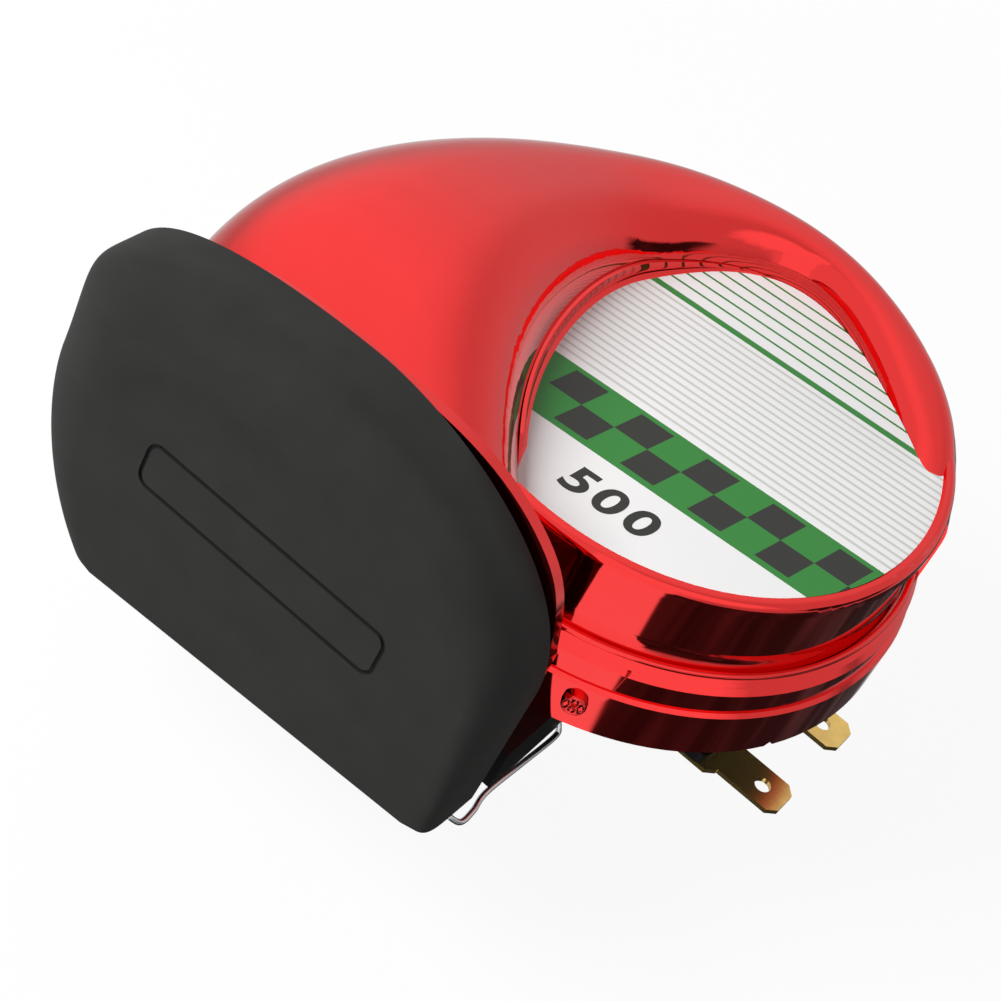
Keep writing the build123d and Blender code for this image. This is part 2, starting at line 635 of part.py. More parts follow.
def armature():
    """Moving core: plunger, collar that works the breaker, and riveted tail."""
    tail_end = DIAPHRAGM_DEPTH - HUB_T - HUB_NUT_T
    return revolved((0, ARMATURE_DEPTH), (ARMATURE_R, ARMATURE_DEPTH),
                    (ARMATURE_R, CAN_FLANGE_DEPTH + COLLAR_H), (COLLAR_R, CAN_FLANGE_DEPTH + COLLAR_H),
                    (COLLAR_R, CAN_FLANGE_DEPTH), (TAIL_R, CAN_FLANGE_DEPTH),
                    (TAIL_R, tail_end), (0, tail_end))


def armature_washer():
    """Washer on the diaphragm's upper face."""
    return ring(TAIL_R + TAIL_GAP, HUB_R, DIAPHRAGM_DEPTH - HUB_T, DIAPHRAGM_DEPTH)


def armature_nut():
    """Nut on the armature's tail, inside the throat."""
    top = DIAPHRAGM_DEPTH - HUB_T - HUB_NUT_T
    return hexagon(HUB_NUT_AF, top, DIAPHRAGM_DEPTH - HUB_T) - ring(0, TAIL_R + NUT_GAP, 0, FAR)


def coil_bobbin():
    """Moulded bobbin round the core."""
    top, bottom = BOBBIN_DEPTH, CAN_FLOOR_DEPTH
    tube = BOBBIN_BORE_R + BOBBIN_TUBE_T
    return revolved((BOBBIN_BORE_R, bottom), (BOBBIN_R, bottom), (BOBBIN_R, bottom - BOBBIN_FLANGE_T),
                    (tube, bottom - BOBBIN_FLANGE_T), (tube, top + BOBBIN_FLANGE_T),
                    (BOBBIN_R, top + BOBBIN_FLANGE_T), (BOBBIN_R, top), (BOBBIN_BORE_R, top))


def coil_winding():
    """Wound copper coil between the bobbin's flanges."""
    return ring(BOBBIN_BORE_R + BOBBIN_TUBE_T + WINDING_GAP, WINDING_R,
                BOBBIN_DEPTH + BOBBIN_FLANGE_T + WINDING_GAP,
                CAN_FLOOR_DEPTH - BOBBIN_FLANGE_T - WINDING_GAP)


# ---- contact breaker -------------------------------------------------------
def spacer(top, bottom):
    """Insulating sleeve on the breaker's pillar."""
    return post(0, PILLAR_Y, SPACER_R, top, bottom) - post(0, PILLAR_Y, PILLAR_HOLE_R, 0, FAR)


def breaker_pillar():
    """Rivet that clamps the breaker's stack to the can's floor."""
    top = MOVING_ARM_DEPTH - TOP_SPACER_T
    pillar = post(0, PILLAR_Y, PILLAR_R, top, CAN_BACK_DEPTH)
    pillar += post(0, PILLAR_Y, PILLAR_HEAD_R, top - PILLAR_HEAD_T, top)
    return pillar + post(0, PILLAR_Y, PILLAR_HEAD_R, CAN_BACK_DEPTH, CAN_BACK_DEPTH + PILLAR_HEAD_T)


def contact_arm(end_y, top):
    """Leaf spring from the pillar towards the armature."""
    leaf = block((-ARM_W / 2, ARM_W / 2), (end_y, PILLAR_Y), (top, top + ARM_T))
    leaf += post(0, PILLAR_Y, ARM_W / 2, top, top + ARM_T)
    return leaf - post(0, PILLAR_Y, PILLAR_HOLE_R, 0, FAR)


def fixed_arm():
    """Lower arm, with the ear that the adjusting screw pushes on."""
    x, y = ADJUSTER_AT
    top = FIXED_ARM_DEPTH
    leaf = contact_arm(FIXED_END_Y, top)
    leaf += block((0, x), (y - ADJUSTER_R, y + ADJUSTER_R), (top, top + ARM_T))
    leaf += post(x, y, ADJUSTER_R, top, top + ARM_T)
    return leaf - post(0, PILLAR_Y, PILLAR_HOLE_R, 0, FAR)


def contact_points():
    """Lower and upper contact buttons, closed at rest."""
    lower_face = FIXED_ARM_DEPTH
    upper_face = MOVING_ARM_DEPTH + ARM_T
    middle = (lower_face + upper_face) / 2
    return (post(0, POINT_Y, POINT_R, middle, lower_face),
            post(0, POINT_Y, POINT_R, upper_face, middle))


def adjusting_screw():
    """Slotted screw from the can's back up to the fixed arm."""
    x, y = ADJUSTER_AT
    end = CAN_BACK_DEPTH + ADJUSTER_OUT
    screw = post(x, y, ADJUSTER_R, FIXED_ARM_DEPTH + ARM_T, end)
    slot = Pos(x, y, at_depth(end)) * Rot(0, 0, ADJUSTER_SLOT_ANGLE)
    return screw - slot * Box(ADJUSTER_R * 3, ADJUSTER_SLOT_W, ADJUSTER_SLOT_W * 2)


def adjuster_nut():
    """Lock nut on the adjusting screw."""
    x, y = ADJUSTER_AT
    nut = hexagon(ADJUSTER_NUT_AF, CAN_BACK_DEPTH, CAN_BACK_DEPTH + ADJUSTER_NUT_T, x, y)
    return nut - post(x, y, ADJUSTER_R + NUT_GAP, 0, FAR)


# ---- terminals -------------------------------------------------------------
def terminal_carrier():
    """Insulating plate that carries both terminals on the can's back."""
    plate = block(CARRIER_X, (-CARRIER_HALF_Y, CARRIER_HALF_Y), (CAN_BACK_DEPTH, CARRIER_DEPTH))
    plate = fillet(plate.edges().filter_by(Axis.Z), CARRIER_ROUND)
    for side in (-1, 1):
        plate -= post(RIVET_X, side * TERMINAL_Y, RIVET_R + RIVET_GAP, 0, FAR)
    return plate


def terminal(side):
    """Tab terminal with a shouldered root, a chamfered tip and a latch hole."""
    y = side * TERMINAL_Y
    levels = (CARRIER_DEPTH, CARRIER_DEPTH + BLADE_T)
    root = block(SHOULDER_X, (y - SHOULDER_W / 2, y + SHOULDER_W / 2), levels)
    root = chamfer(root.edges().filter_by(Axis.Z).group_by(Axis.X)[-1], BLADE_CHAMFER)
    blade = block((SHOULDER_X[1] - BLADE_OVERLAP, BLADE_TIP_X), (y - BLADE_W / 2, y + BLADE_W / 2), levels)
    blade = chamfer(blade.edges().filter_by(Axis.Z).group_by(Axis.X)[-1], BLADE_CHAMFER)
    tab = root + blade
    tab -= post(BLADE_TIP_X - BLADE_HOLE_BACK, y, BLADE_HOLE_R, 0, FAR)
    return tab - post(RIVET_X, y, RIVET_R + RIVET_GAP, 0, FAR)


def terminal_rivet(side):
    """Rivet through the terminal, the plate and the can."""
    y = side * TERMINAL_Y
    inside = CAN_FLOOR_DEPTH - RIVET_WASHER_T
    outside = CARRIER_DEPTH + BLADE_T
    rivet = post(RIVET_X, y, RIVET_R, inside, outside)
    rivet += post(RIVET_X, y, RIVET_HEAD_R, inside - RIVET_HEAD_T, inside)
    head = post(RIVET_X, y, RIVET_HEAD_R, outside, outside + RIVET_HEAD_T)
    rim = head.edges().filter_by(GeomType.CIRCLE).sort_by(Axis.Z)[0]
    return rivet + fillet(rim, RIVET_HEAD_T * 0.6)


def terminal_washer(side):
    """Fibre washer between the rivet and the can's floor."""
    y = side * TERMINAL_Y
    washer = post(RIVET_X, y, RIVET_WASHER_R, CAN_FLOOR_DEPTH - RIVET_WASHER_T, CAN_FLOOR_DEPTH)
    return washer - post(RIVET_X, y, RIVET_R + RIVET_GAP, 0, FAR)


def face_label(horn_clear):
    """Printed label, trimmed along the trumpet's inner wall."""
    return ring(0, LABEL_R, -LABEL_T, 0) - horn_clear


def build():
    """All sub-parts by name."""
    horn = trumpet()
    bore = trumpet(WALL)
    lower_point, upper_point = contact_points()
    parts = {
        "front_shell": front_shell(horn, bore),
        "rear_shell": rear_shell(horn, bore),
        "mouth_cover": mouth_cover(),
        "face_label": face_label(trumpet(-LABEL_GAP)),
        "gasket": gasket(),
        "diaphragm": diaphragm(),
        "driver_can": driver_can(),
        "core_stud": core_stud(),
        "core_washer": core_washer(),
        "core_nut": core_nut(),
        "armature": armature(),
        "armature_washer": armature_washer(),
        "armature_nut": armature_nut(),
        "coil_bobbin": coil_bobbin(),
        "coil_winding": coil_winding(),
        "breaker_base": spacer(FIXED_ARM_DEPTH + ARM_T, CAN_FLOOR_DEPTH),
        "breaker_spacer": spacer(MOVING_ARM_DEPTH + ARM_T, FIXED_ARM_DEPTH),
        "breaker_cap": spacer(MOVING_ARM_DEPTH - TOP_SPACER_T, MOVING_ARM_DEPTH),
        "breaker_pillar": breaker_pillar(),
        "fixed_arm": fixed_arm(),
        "moving_arm": contact_arm(MOVING_END_Y, MOVING_ARM_DEPTH),
        "fixed_contact": lower_point,
        "moving_contact": upper_point,
        "adjusting_screw": adjusting_screw(),
        "adjuster_nut": adjuster_nut(),
        "terminal_carrier": terminal_carrier(),
    }
    for name, side in (("left", -1), ("right", 1)):
        parts[f"terminal_{name}"] = terminal(side)
        parts[f"terminal_rivet_{name}"] = terminal_rivet(side)
        parts[f"terminal_washer_{name}"] = terminal_washer(side)
    for number, (x, y) in enumerate(screw_places(), 1):
        parts[f"driver_screw_{number}"] = driver_screw(x, y)
    return parts


if __name__ == "__main__":
    os.makedirs("parts", exist_ok=True)
    for node, shape in build().items():
        export_step(shape, f"parts/{node}.step")
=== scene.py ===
"""Electric snail horn: a plated trumpet shell, a rubber rain cover and a steel driver.

Sizes are written in millimetres and meshes are made in metres, in the frame of
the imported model: +Z is the horn's axis and points out of the printed face, +X runs
along the mouth and along the terminals, the mouth faces -Y, and the origin is the
centre of the mounting seat.
"""
from __future__ import annotations

import json
import logging
import math
from dataclasses import dataclass, field
from enum import Enum
from typing import Iterable, Sequence

import bmesh
import bpy
import numpy as np
from mathutils import Matrix, Vector

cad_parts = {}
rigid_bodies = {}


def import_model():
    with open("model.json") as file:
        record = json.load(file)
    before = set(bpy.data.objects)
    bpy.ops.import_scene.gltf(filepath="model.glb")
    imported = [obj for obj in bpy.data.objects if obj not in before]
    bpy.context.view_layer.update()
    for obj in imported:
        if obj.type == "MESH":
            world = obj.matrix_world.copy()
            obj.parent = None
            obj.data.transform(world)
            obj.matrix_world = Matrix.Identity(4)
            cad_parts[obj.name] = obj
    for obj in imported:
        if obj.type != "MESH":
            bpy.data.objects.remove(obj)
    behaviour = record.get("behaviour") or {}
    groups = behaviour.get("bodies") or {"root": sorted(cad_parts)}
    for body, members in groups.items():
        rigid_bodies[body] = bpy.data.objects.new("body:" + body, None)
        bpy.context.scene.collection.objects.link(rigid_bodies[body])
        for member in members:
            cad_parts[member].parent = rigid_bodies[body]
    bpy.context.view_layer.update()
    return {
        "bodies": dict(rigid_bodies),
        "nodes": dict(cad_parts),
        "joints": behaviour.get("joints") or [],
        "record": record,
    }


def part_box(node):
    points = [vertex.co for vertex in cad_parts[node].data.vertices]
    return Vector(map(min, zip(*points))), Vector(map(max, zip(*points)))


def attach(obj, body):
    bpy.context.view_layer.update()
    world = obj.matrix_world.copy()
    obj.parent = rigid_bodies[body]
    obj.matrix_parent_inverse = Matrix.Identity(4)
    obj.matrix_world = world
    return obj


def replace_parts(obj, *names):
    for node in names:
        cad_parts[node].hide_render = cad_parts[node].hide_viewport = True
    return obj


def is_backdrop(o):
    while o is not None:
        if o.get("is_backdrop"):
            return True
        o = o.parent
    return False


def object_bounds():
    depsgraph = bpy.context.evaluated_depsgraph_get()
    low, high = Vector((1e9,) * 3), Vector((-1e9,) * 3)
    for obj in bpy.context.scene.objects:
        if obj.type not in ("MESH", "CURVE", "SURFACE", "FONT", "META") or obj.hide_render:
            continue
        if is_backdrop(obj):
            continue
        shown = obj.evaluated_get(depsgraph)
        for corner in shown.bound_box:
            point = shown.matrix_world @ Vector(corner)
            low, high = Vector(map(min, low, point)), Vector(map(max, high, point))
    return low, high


log = logging.getLogger("horn")
MM = 0.001
MATH = "ShaderNodeMath"
FACE_Z = 43.5             # printed face above the mounting seat
SENSOR_MM = 36.0          # camera's sensor width
SHARP_DEGREES = 38.0      # edges sharper than this are shaded as creases
MERGE_M = 1e-7            # points nearer than this are one
DEGENERATE_M = 1e-8       # edges shorter than this are dissolved
WHITE = "#ffffff"


class Slot(Enum):
    """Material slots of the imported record."""

    RED = "metallised_red"
    PLASTIC = "black_plastic"
    RUBBER = "black_rubber"
    FILM = "printed_film"
    FIBRE = "gasket_fibre"
    SPRING = "spring_steel"
    STEEL = "black_steel"
    ZINC = "zinc_steel"
    BRASS = "tab_brass"
    COPPER = "coil_copper"
    NYLON = "bobbin_nylon"
    INSULATOR = "brown_insulator"
    CONTACT = "contact_alloy"


# ---- node and mesh helpers ---------------------------------------------------
def linear(colour: str) -> tuple[float, float, float, float]:
    """Turn an sRGB hex colour into linear light.

    Args:
        colour: colour as "#rrggbb".

    Returns:
        Linear red, green, blue and an alpha of one.
    """
    parts = [int(colour[i:i + 2], 16) / 255 for i in (1, 3, 5)]
    red, green, blue = (c / 12.92 if c <= 0.04045 else ((c + 0.055) / 1.055) ** 2.4 for c in parts)
    return red, green, blue, 1.0


def add(tree: bpy.types.NodeTree, kind: str, inputs: dict | None = None, out: int | str = 0,
        **settings: object) -> bpy.types.NodeSocket:
    """Add one node with its settings and its links.

    Args:
        tree: node tree that gets the node.
        kind: Blender's name of the node type.
        inputs: values or output sockets by input name or number.
        out: output to give back.
        settings: attributes to set on the node.

    Returns:
        The chosen output socket of the new node, or None where it has none.
    """
    node = tree.nodes.new(kind)
    for name, value in settings.items():
        setattr(node, name, value)
    for name, value in (inputs or {}).items():
        if isinstance(value, bpy.types.NodeSocket):
            tree.links.new(value, node.inputs[name])
        else:
            node.inputs[name].default_value = value
    return node.outputs[out] if node.outputs else None


def mesh_from_grid(name: str, points: np.ndarray, wrap_u: bool = False, wrap_v: bool = False,
                   smooth: bool = True) -> bpy.types.Object:
    """Surface over a grid of points, with faces between neighbours.

    Args:
        name: name of the object.
        points: array of rows by columns by three, in millimetres.
        wrap_u: join the last row to the first.
        wrap_v: join the last column to the first.
        smooth: shade it smooth.

    Returns:
        The new object, linked into the scene.
    """
    rows, columns = points.shape[:2]
    index = np.arange(rows * columns).reshape(rows, columns)
    if wrap_u:
        index = np.vstack([index, index[:1]])
    if wrap_v:
        index = np.hstack([index, index[:, :1]])
    quads = np.stack([index[:-1, :-1], index[1:, :-1], index[1:, 1:], index[:-1, 1:]], -1).reshape(-1, 4)
    return mesh_object(name, points.reshape(-1, 3), quads, smooth)


def make_outward(mesh: bpy.types.Mesh) -> None:
    """Merge doubles and turn the faces of a closed surface outwards."""
    work = bmesh.new()
    work.from_mesh(mesh)
    bmesh.ops.remove_doubles(work, verts=work.verts, dist=MERGE_M)
    bmesh.ops.dissolve_degenerate(work, dist=DEGENERATE_M, edges=work.edges)
    bmesh.ops.recalc_face_normals(work, faces=work.faces)
    work.to_mesh(mesh)
    work.free()


def mesh_object(name: str, points: np.ndarray, faces: Iterable[Sequence[int]],
                smooth: bool = True) -> bpy.types.Object:
    """Object from points in millimetres and faces.

    Args:
        name: name of the object.
        points: array of points by three, in millimetres.
        faces: point numbers of each face.
        smooth: shade it smooth.

    Returns:
        The new object, linked into the scene.
    """
    mesh = bpy.data.meshes.new(name)
    listed = faces.tolist() if isinstance(faces, np.ndarray) else [list(f) for f in faces]
    mesh.from_pydata((points * MM).tolist(), [], listed)
    mesh.validate()
    make_outward(mesh)
    mesh.shade_smooth() if smooth else mesh.shade_flat()
    if smooth:
        mesh.set_sharp_from_angle(angle=math.radians(SHARP_DEGREES))
    made = bpy.data.objects.new(name, mesh)
    bpy.context.scene.collection.objects.link(made)
    return made


# ---- finishes ------------------------------------------------------------------
@dataclass(frozen=True)
class Finish:
    """Finish that covers a whole part: colour, gloss and a fine surface."""

    name: str
    colour: str
    roughness: float = 0.5
    metallic: float = 0.0
    coat: float = 0.0
    coat_roughness: float = 0.03
    specular: float = 0.5
    grain_mm: float = 0.5
    grain_depth_mm: float = 0.004
    grain_strength: float = 0.2
    mottle: float = 0.04
    mottle_mm: float = 9.0

    def build(self) -> bpy.types.Material:
        """Make the material.

        Returns:
            The finished material.
        """
        material = bpy.data.materials.new(self.name)
        material.use_nodes = True
        material.diffuse_color = linear(self.colour)
        tree = material.node_tree
        shader = tree.nodes["Principled BSDF"]
        shader.inputs["Metallic"].default_value = self.metallic
        shader.inputs["Base Color"].default_value = linear(self.colour)
        shader.inputs["Roughness"].default_value = self.roughness
        shader.inputs["Coat Weight"].default_value = self.coat
        shader.inputs["Coat Roughness"].default_value = self.coat_roughness
        shader.inputs["Specular IOR Level"].default_value = self.specular
        place = add(tree, "ShaderNodeTexCoord", out="Object")
        self.dress(tree, shader, place)
        return material

    def dress(self, tree: bpy.types.NodeTree, shader: bpy.types.Node,
              place: bpy.types.NodeSocket) -> None:
        """Add mottle to the colour and a fine grain to the surface.

        Args:
            tree: node tree of the material.
            shader: its Principled shader.
            place: object coordinates in metres.
        """
        self.vary(tree, shader, place)
        self.bump(tree, shader, self.noise(tree, place, self.grain_mm, 3.0), self.grain_strength)

    def noise(self, tree: bpy.types.NodeTree, place: bpy.types.NodeSocket, size_mm: float,
              detail: float = 2.0) -> bpy.types.NodeSocket:
        """Noise with features of a size in millimetres.

        Args:
            tree: node tree of the material.
            place: object coordinates in metres.
            size_mm: size of one feature.
            detail: number of finer layers.

        Returns:
            The value socket, from 0 to 1.
        """
        return add(tree, "ShaderNodeTexNoise",
                   {"Vector": place, "Scale": 1 / (size_mm * MM), "Detail": detail}, "Fac")

    def vary(self, tree: bpy.types.NodeTree, shader: bpy.types.Node,
             place: bpy.types.NodeSocket) -> None:
        """Let the colour and the roughness drift a little over the part.

        Args:
            tree: node tree of the material.
            shader: its Principled shader.
            place: object coordinates in metres.
        """
        drift = self.noise(tree, place, self.mottle_mm)
        tone = add(tree, "ShaderNodeMapRange",
                   {0: drift, 3: 1 - self.mottle * 2, 4: 1 + self.mottle * 2})
        base = linear(self.colour)
        paint = add(tree, "ShaderNodeVectorMath", {0: base[:3], "Scale": tone}, operation="SCALE")
        tree.links.new(paint, shader.inputs["Base Color"])
        gloss = add(tree, "ShaderNodeMapRange",
                    {0: drift, 3: self.roughness * 1.12, 4: self.roughness * 0.88})
        tree.links.new(gloss, shader.inputs["Roughness"])

    def bump(self, tree: bpy.types.NodeTree, shader: bpy.types.Node,
             height: bpy.types.NodeSocket, strength: float) -> None:
        """Raise the surface by a height map.

        Args:
            tree: node tree of the material.
            shader: its Principled shader.
            height: socket from 0 to 1.
            strength: share of the relief that shows.
        """
        raised = add(tree, "ShaderNodeBump",
                     {"Height": height, "Strength": strength, "Distance": self.grain_depth_mm * MM})
        tree.links.new(raised, shader.inputs["Normal"])


@dataclass(frozen=True)
class LabelPrint(Finish):
    """White film with stripes, a checker band and plain borders, printed flat."""

    turn: float = 7.1
    cell: float = 5.05
    lean: float = 0.31
    first_cell: float = -14.65
    band: tuple[float, float] = (-21.9, -10.1)
    rows: tuple[float, float, float] = (-20.85, -15.9, -10.9)
    thick: tuple[float, float] = (12.9, 14.0)
    green: str = "#35823a"
    black: str = "#2b2c28"
    line_sets: tuple[tuple[tuple[float, float], float, float, str], ...] = (
        ((-8.85, 12.2), 1.37, 0.46, "#cfd0cc"),
        ((15.9, 40.0), 2.2, 0.38, "#35823a"),
    )

    def dress(self, tree: bpy.types.NodeTree, shader: bpy.types.Node,
              place: bpy.types.NodeSocket) -> None:
        """Print the pattern from two distances: along the stripes and across them.

        Args:
            tree: node tree of the material.
            shader: its Principled shader.
            place: object coordinates in metres.
        """
        turned = add(tree, "ShaderNodeMapping",
                     {"Vector": place, "Rotation": (0, 0, -math.radians(self.turn)),
                      "Scale": (1 / MM, 1 / MM, 1 / MM)}, vector_type="POINT")
        along = add(tree, "ShaderNodeSeparateXYZ", {0: turned}, "X")
        across = add(tree, "ShaderNodeSeparateXYZ", {0: turned}, "Y")

        def step(low: float, high: float) -> bpy.types.NodeSocket:
            """One where the distance across lies between two limits, zero elsewhere."""
            return add(tree, MATH, {0: across, 1: (low + high) / 2, 2: (high - low) / 2},
                       operation="COMPARE")

        def repeat(value: bpy.types.NodeSocket, start: float, pitch: float,
                   width: float) -> bpy.types.NodeSocket:
            """One over the first part of each pitch from a start, zero over the rest."""
            moved = add(tree, MATH, {0: value, 1: start}, operation="SUBTRACT")
            phase = add(tree, MATH, {0: moved, 1: pitch, 2: 0.0}, operation="WRAP")
            return add(tree, MATH, {0: phase, 1: width}, operation="LESS_THAN")

        def over(under: object, colour: str, *masks: bpy.types.NodeSocket) -> bpy.types.NodeSocket:
            """Lay a printed colour over another where every mask is one."""
            share = masks[0]
            for mask in masks[1:]:
                share = add(tree, MATH, {0: share, 1: mask}, operation="MULTIPLY")
            return add(tree, "ShaderNodeMix", {0: share, 6: under, 7: linear(colour)}, 2,
                       data_type="RGBA")

        low, middle, high = self.rows
        drop = add(tree, MATH, {0: across, 1: middle}, operation="SUBTRACT")
        slanted = add(tree, MATH, {0: drop, 1: -self.lean, 2: along}, operation="MULTIPLY_ADD")
        started = add(tree, MATH, {0: slanted, 1: self.first_cell}, operation="GREATER_THAN")
        colour = linear(self.colour)
        for limits, pitch, width, tint in self.line_sets:
            colour = over(colour, tint, step(*limits), repeat(across, limits[0], pitch, width))
        for limits in (self.thick, self.band):
            colour = over(colour, self.green, step(*limits))
        for limits, start in (((middle, high), self.first_cell),
                              ((low, middle), self.first_cell + self.cell)):
            cells = repeat(slanted, start, self.cell * 2, self.cell)
            colour = over(colour, self.black, step(*limits), cells, started)
        tree.links.new(colour, shader.inputs["Base Color"])
        self.bump(tree, shader, self.noise(tree, place, self.grain_mm, 3.0), self.grain_strength)


FINISHES: dict[Slot, Finish] = {
    # Vacuum-metallised ABS under a red tinted lacquer: a mirror with a deep red
    # colour, softened by the lacquer's faint orange peel.
    Slot.RED: Finish("red_lacquered_metallised_abs", "#e22e2d", 0.06, 1.0, 0.35, 0.03,
                     grain_mm=0.9, grain_depth_mm=0.0016, grain_strength=0.25, mottle=0.015,
                     mottle_mm=18.0),
    # Moulded EPDM rubber: charcoal with a dull, slightly dusty bloom.
    Slot.RUBBER: Finish("moulded_epdm_rubber", "#262625", 0.7, specular=0.25, grain_mm=0.35,
                        grain_depth_mm=0.02, grain_strength=0.35, mottle=0.06, mottle_mm=6.0),
    # Gloss-printed polyester film: white with crisp spot colours.
    Slot.FILM: LabelPrint("printed_polyester_film", "#f2f2f2", 0.4, specular=0.3, grain_mm=0.6,
                          grain_depth_mm=0.002, grain_strength=0.1),
    # Injection-moulded PP with a fine spark-eroded texture.
    Slot.PLASTIC: Finish("moulded_black_pp", "#070707", 0.5, specular=0.13, grain_mm=0.25,
                         grain_depth_mm=0.01, grain_strength=0.3),
    # Pressed fibre gasket: felted brown-grey board.
    Slot.FIBRE: Finish("pressed_fibre_board", "#7c6a54", 0.9, grain_mm=0.3, grain_depth_mm=0.05,
                       grain_strength=0.6, mottle=0.12, mottle_mm=1.5),
    # Blue-grey tempered spring steel.
    Slot.SPRING: Finish("tempered_spring_steel", "#8d939c", 0.28, 1.0, grain_mm=0.4),
    # Deep-drawn steel in black cathodic paint.
    Slot.STEEL: Finish("black_painted_steel", "#1b1c1d", 0.33, 0.0, 0.35, 0.12, grain_mm=0.7,
                       grain_depth_mm=0.012, grain_strength=0.3),
    # Bright zinc plate: silver with a cool cast and a cloudy grain.
    Slot.ZINC: Finish("bright_zinc_plate", "#c9cbcc", 0.27, 1.0, grain_mm=0.3,
                      grain_depth_mm=0.004, mottle=0.05, mottle_mm=1.5),
    # Yellow-passivated plate on the spade tabs.
    Slot.BRASS: Finish("yellow_passivated_plate", "#dab76c", 0.22, 1.0, grain_mm=0.5,
                       grain_depth_mm=0.004, mottle=0.1, mottle_mm=2.5),
    # Enamelled winding wire: warm copper under a clear glossy varnish.
    Slot.COPPER: Finish("enamelled_copper_wire", "#b5592c", 0.25, 1.0, 0.5),
    # Natural moulded nylon: creamy, half matt.
    Slot.NYLON: Finish("moulded_natural_nylon", "#d9d3c3", 0.45),
    # Pressed phenolic board: dark brown with a dull pressed skin.
    Slot.INSULATOR: Finish("pressed_phenolic_board", "#2b211a", 0.5, grain_mm=0.4,
                           grain_depth_mm=0.01, grain_strength=0.3),
    # Sintered contact alloy: grey and grainless, duller than the springs.
    Slot.CONTACT: Finish("sintered_contact_alloy", "#8f8b86", 0.4, 1.0),
}


EXTRA_FINISHES: tuple[Finish, ...] = (
    # Screen ink: near black, flat, a little less glossy than the film.
    Finish("screen_ink", "#2f2f2c", 0.5, specular=0.3, grain_mm=0.2, grain_depth_mm=0.002),
)


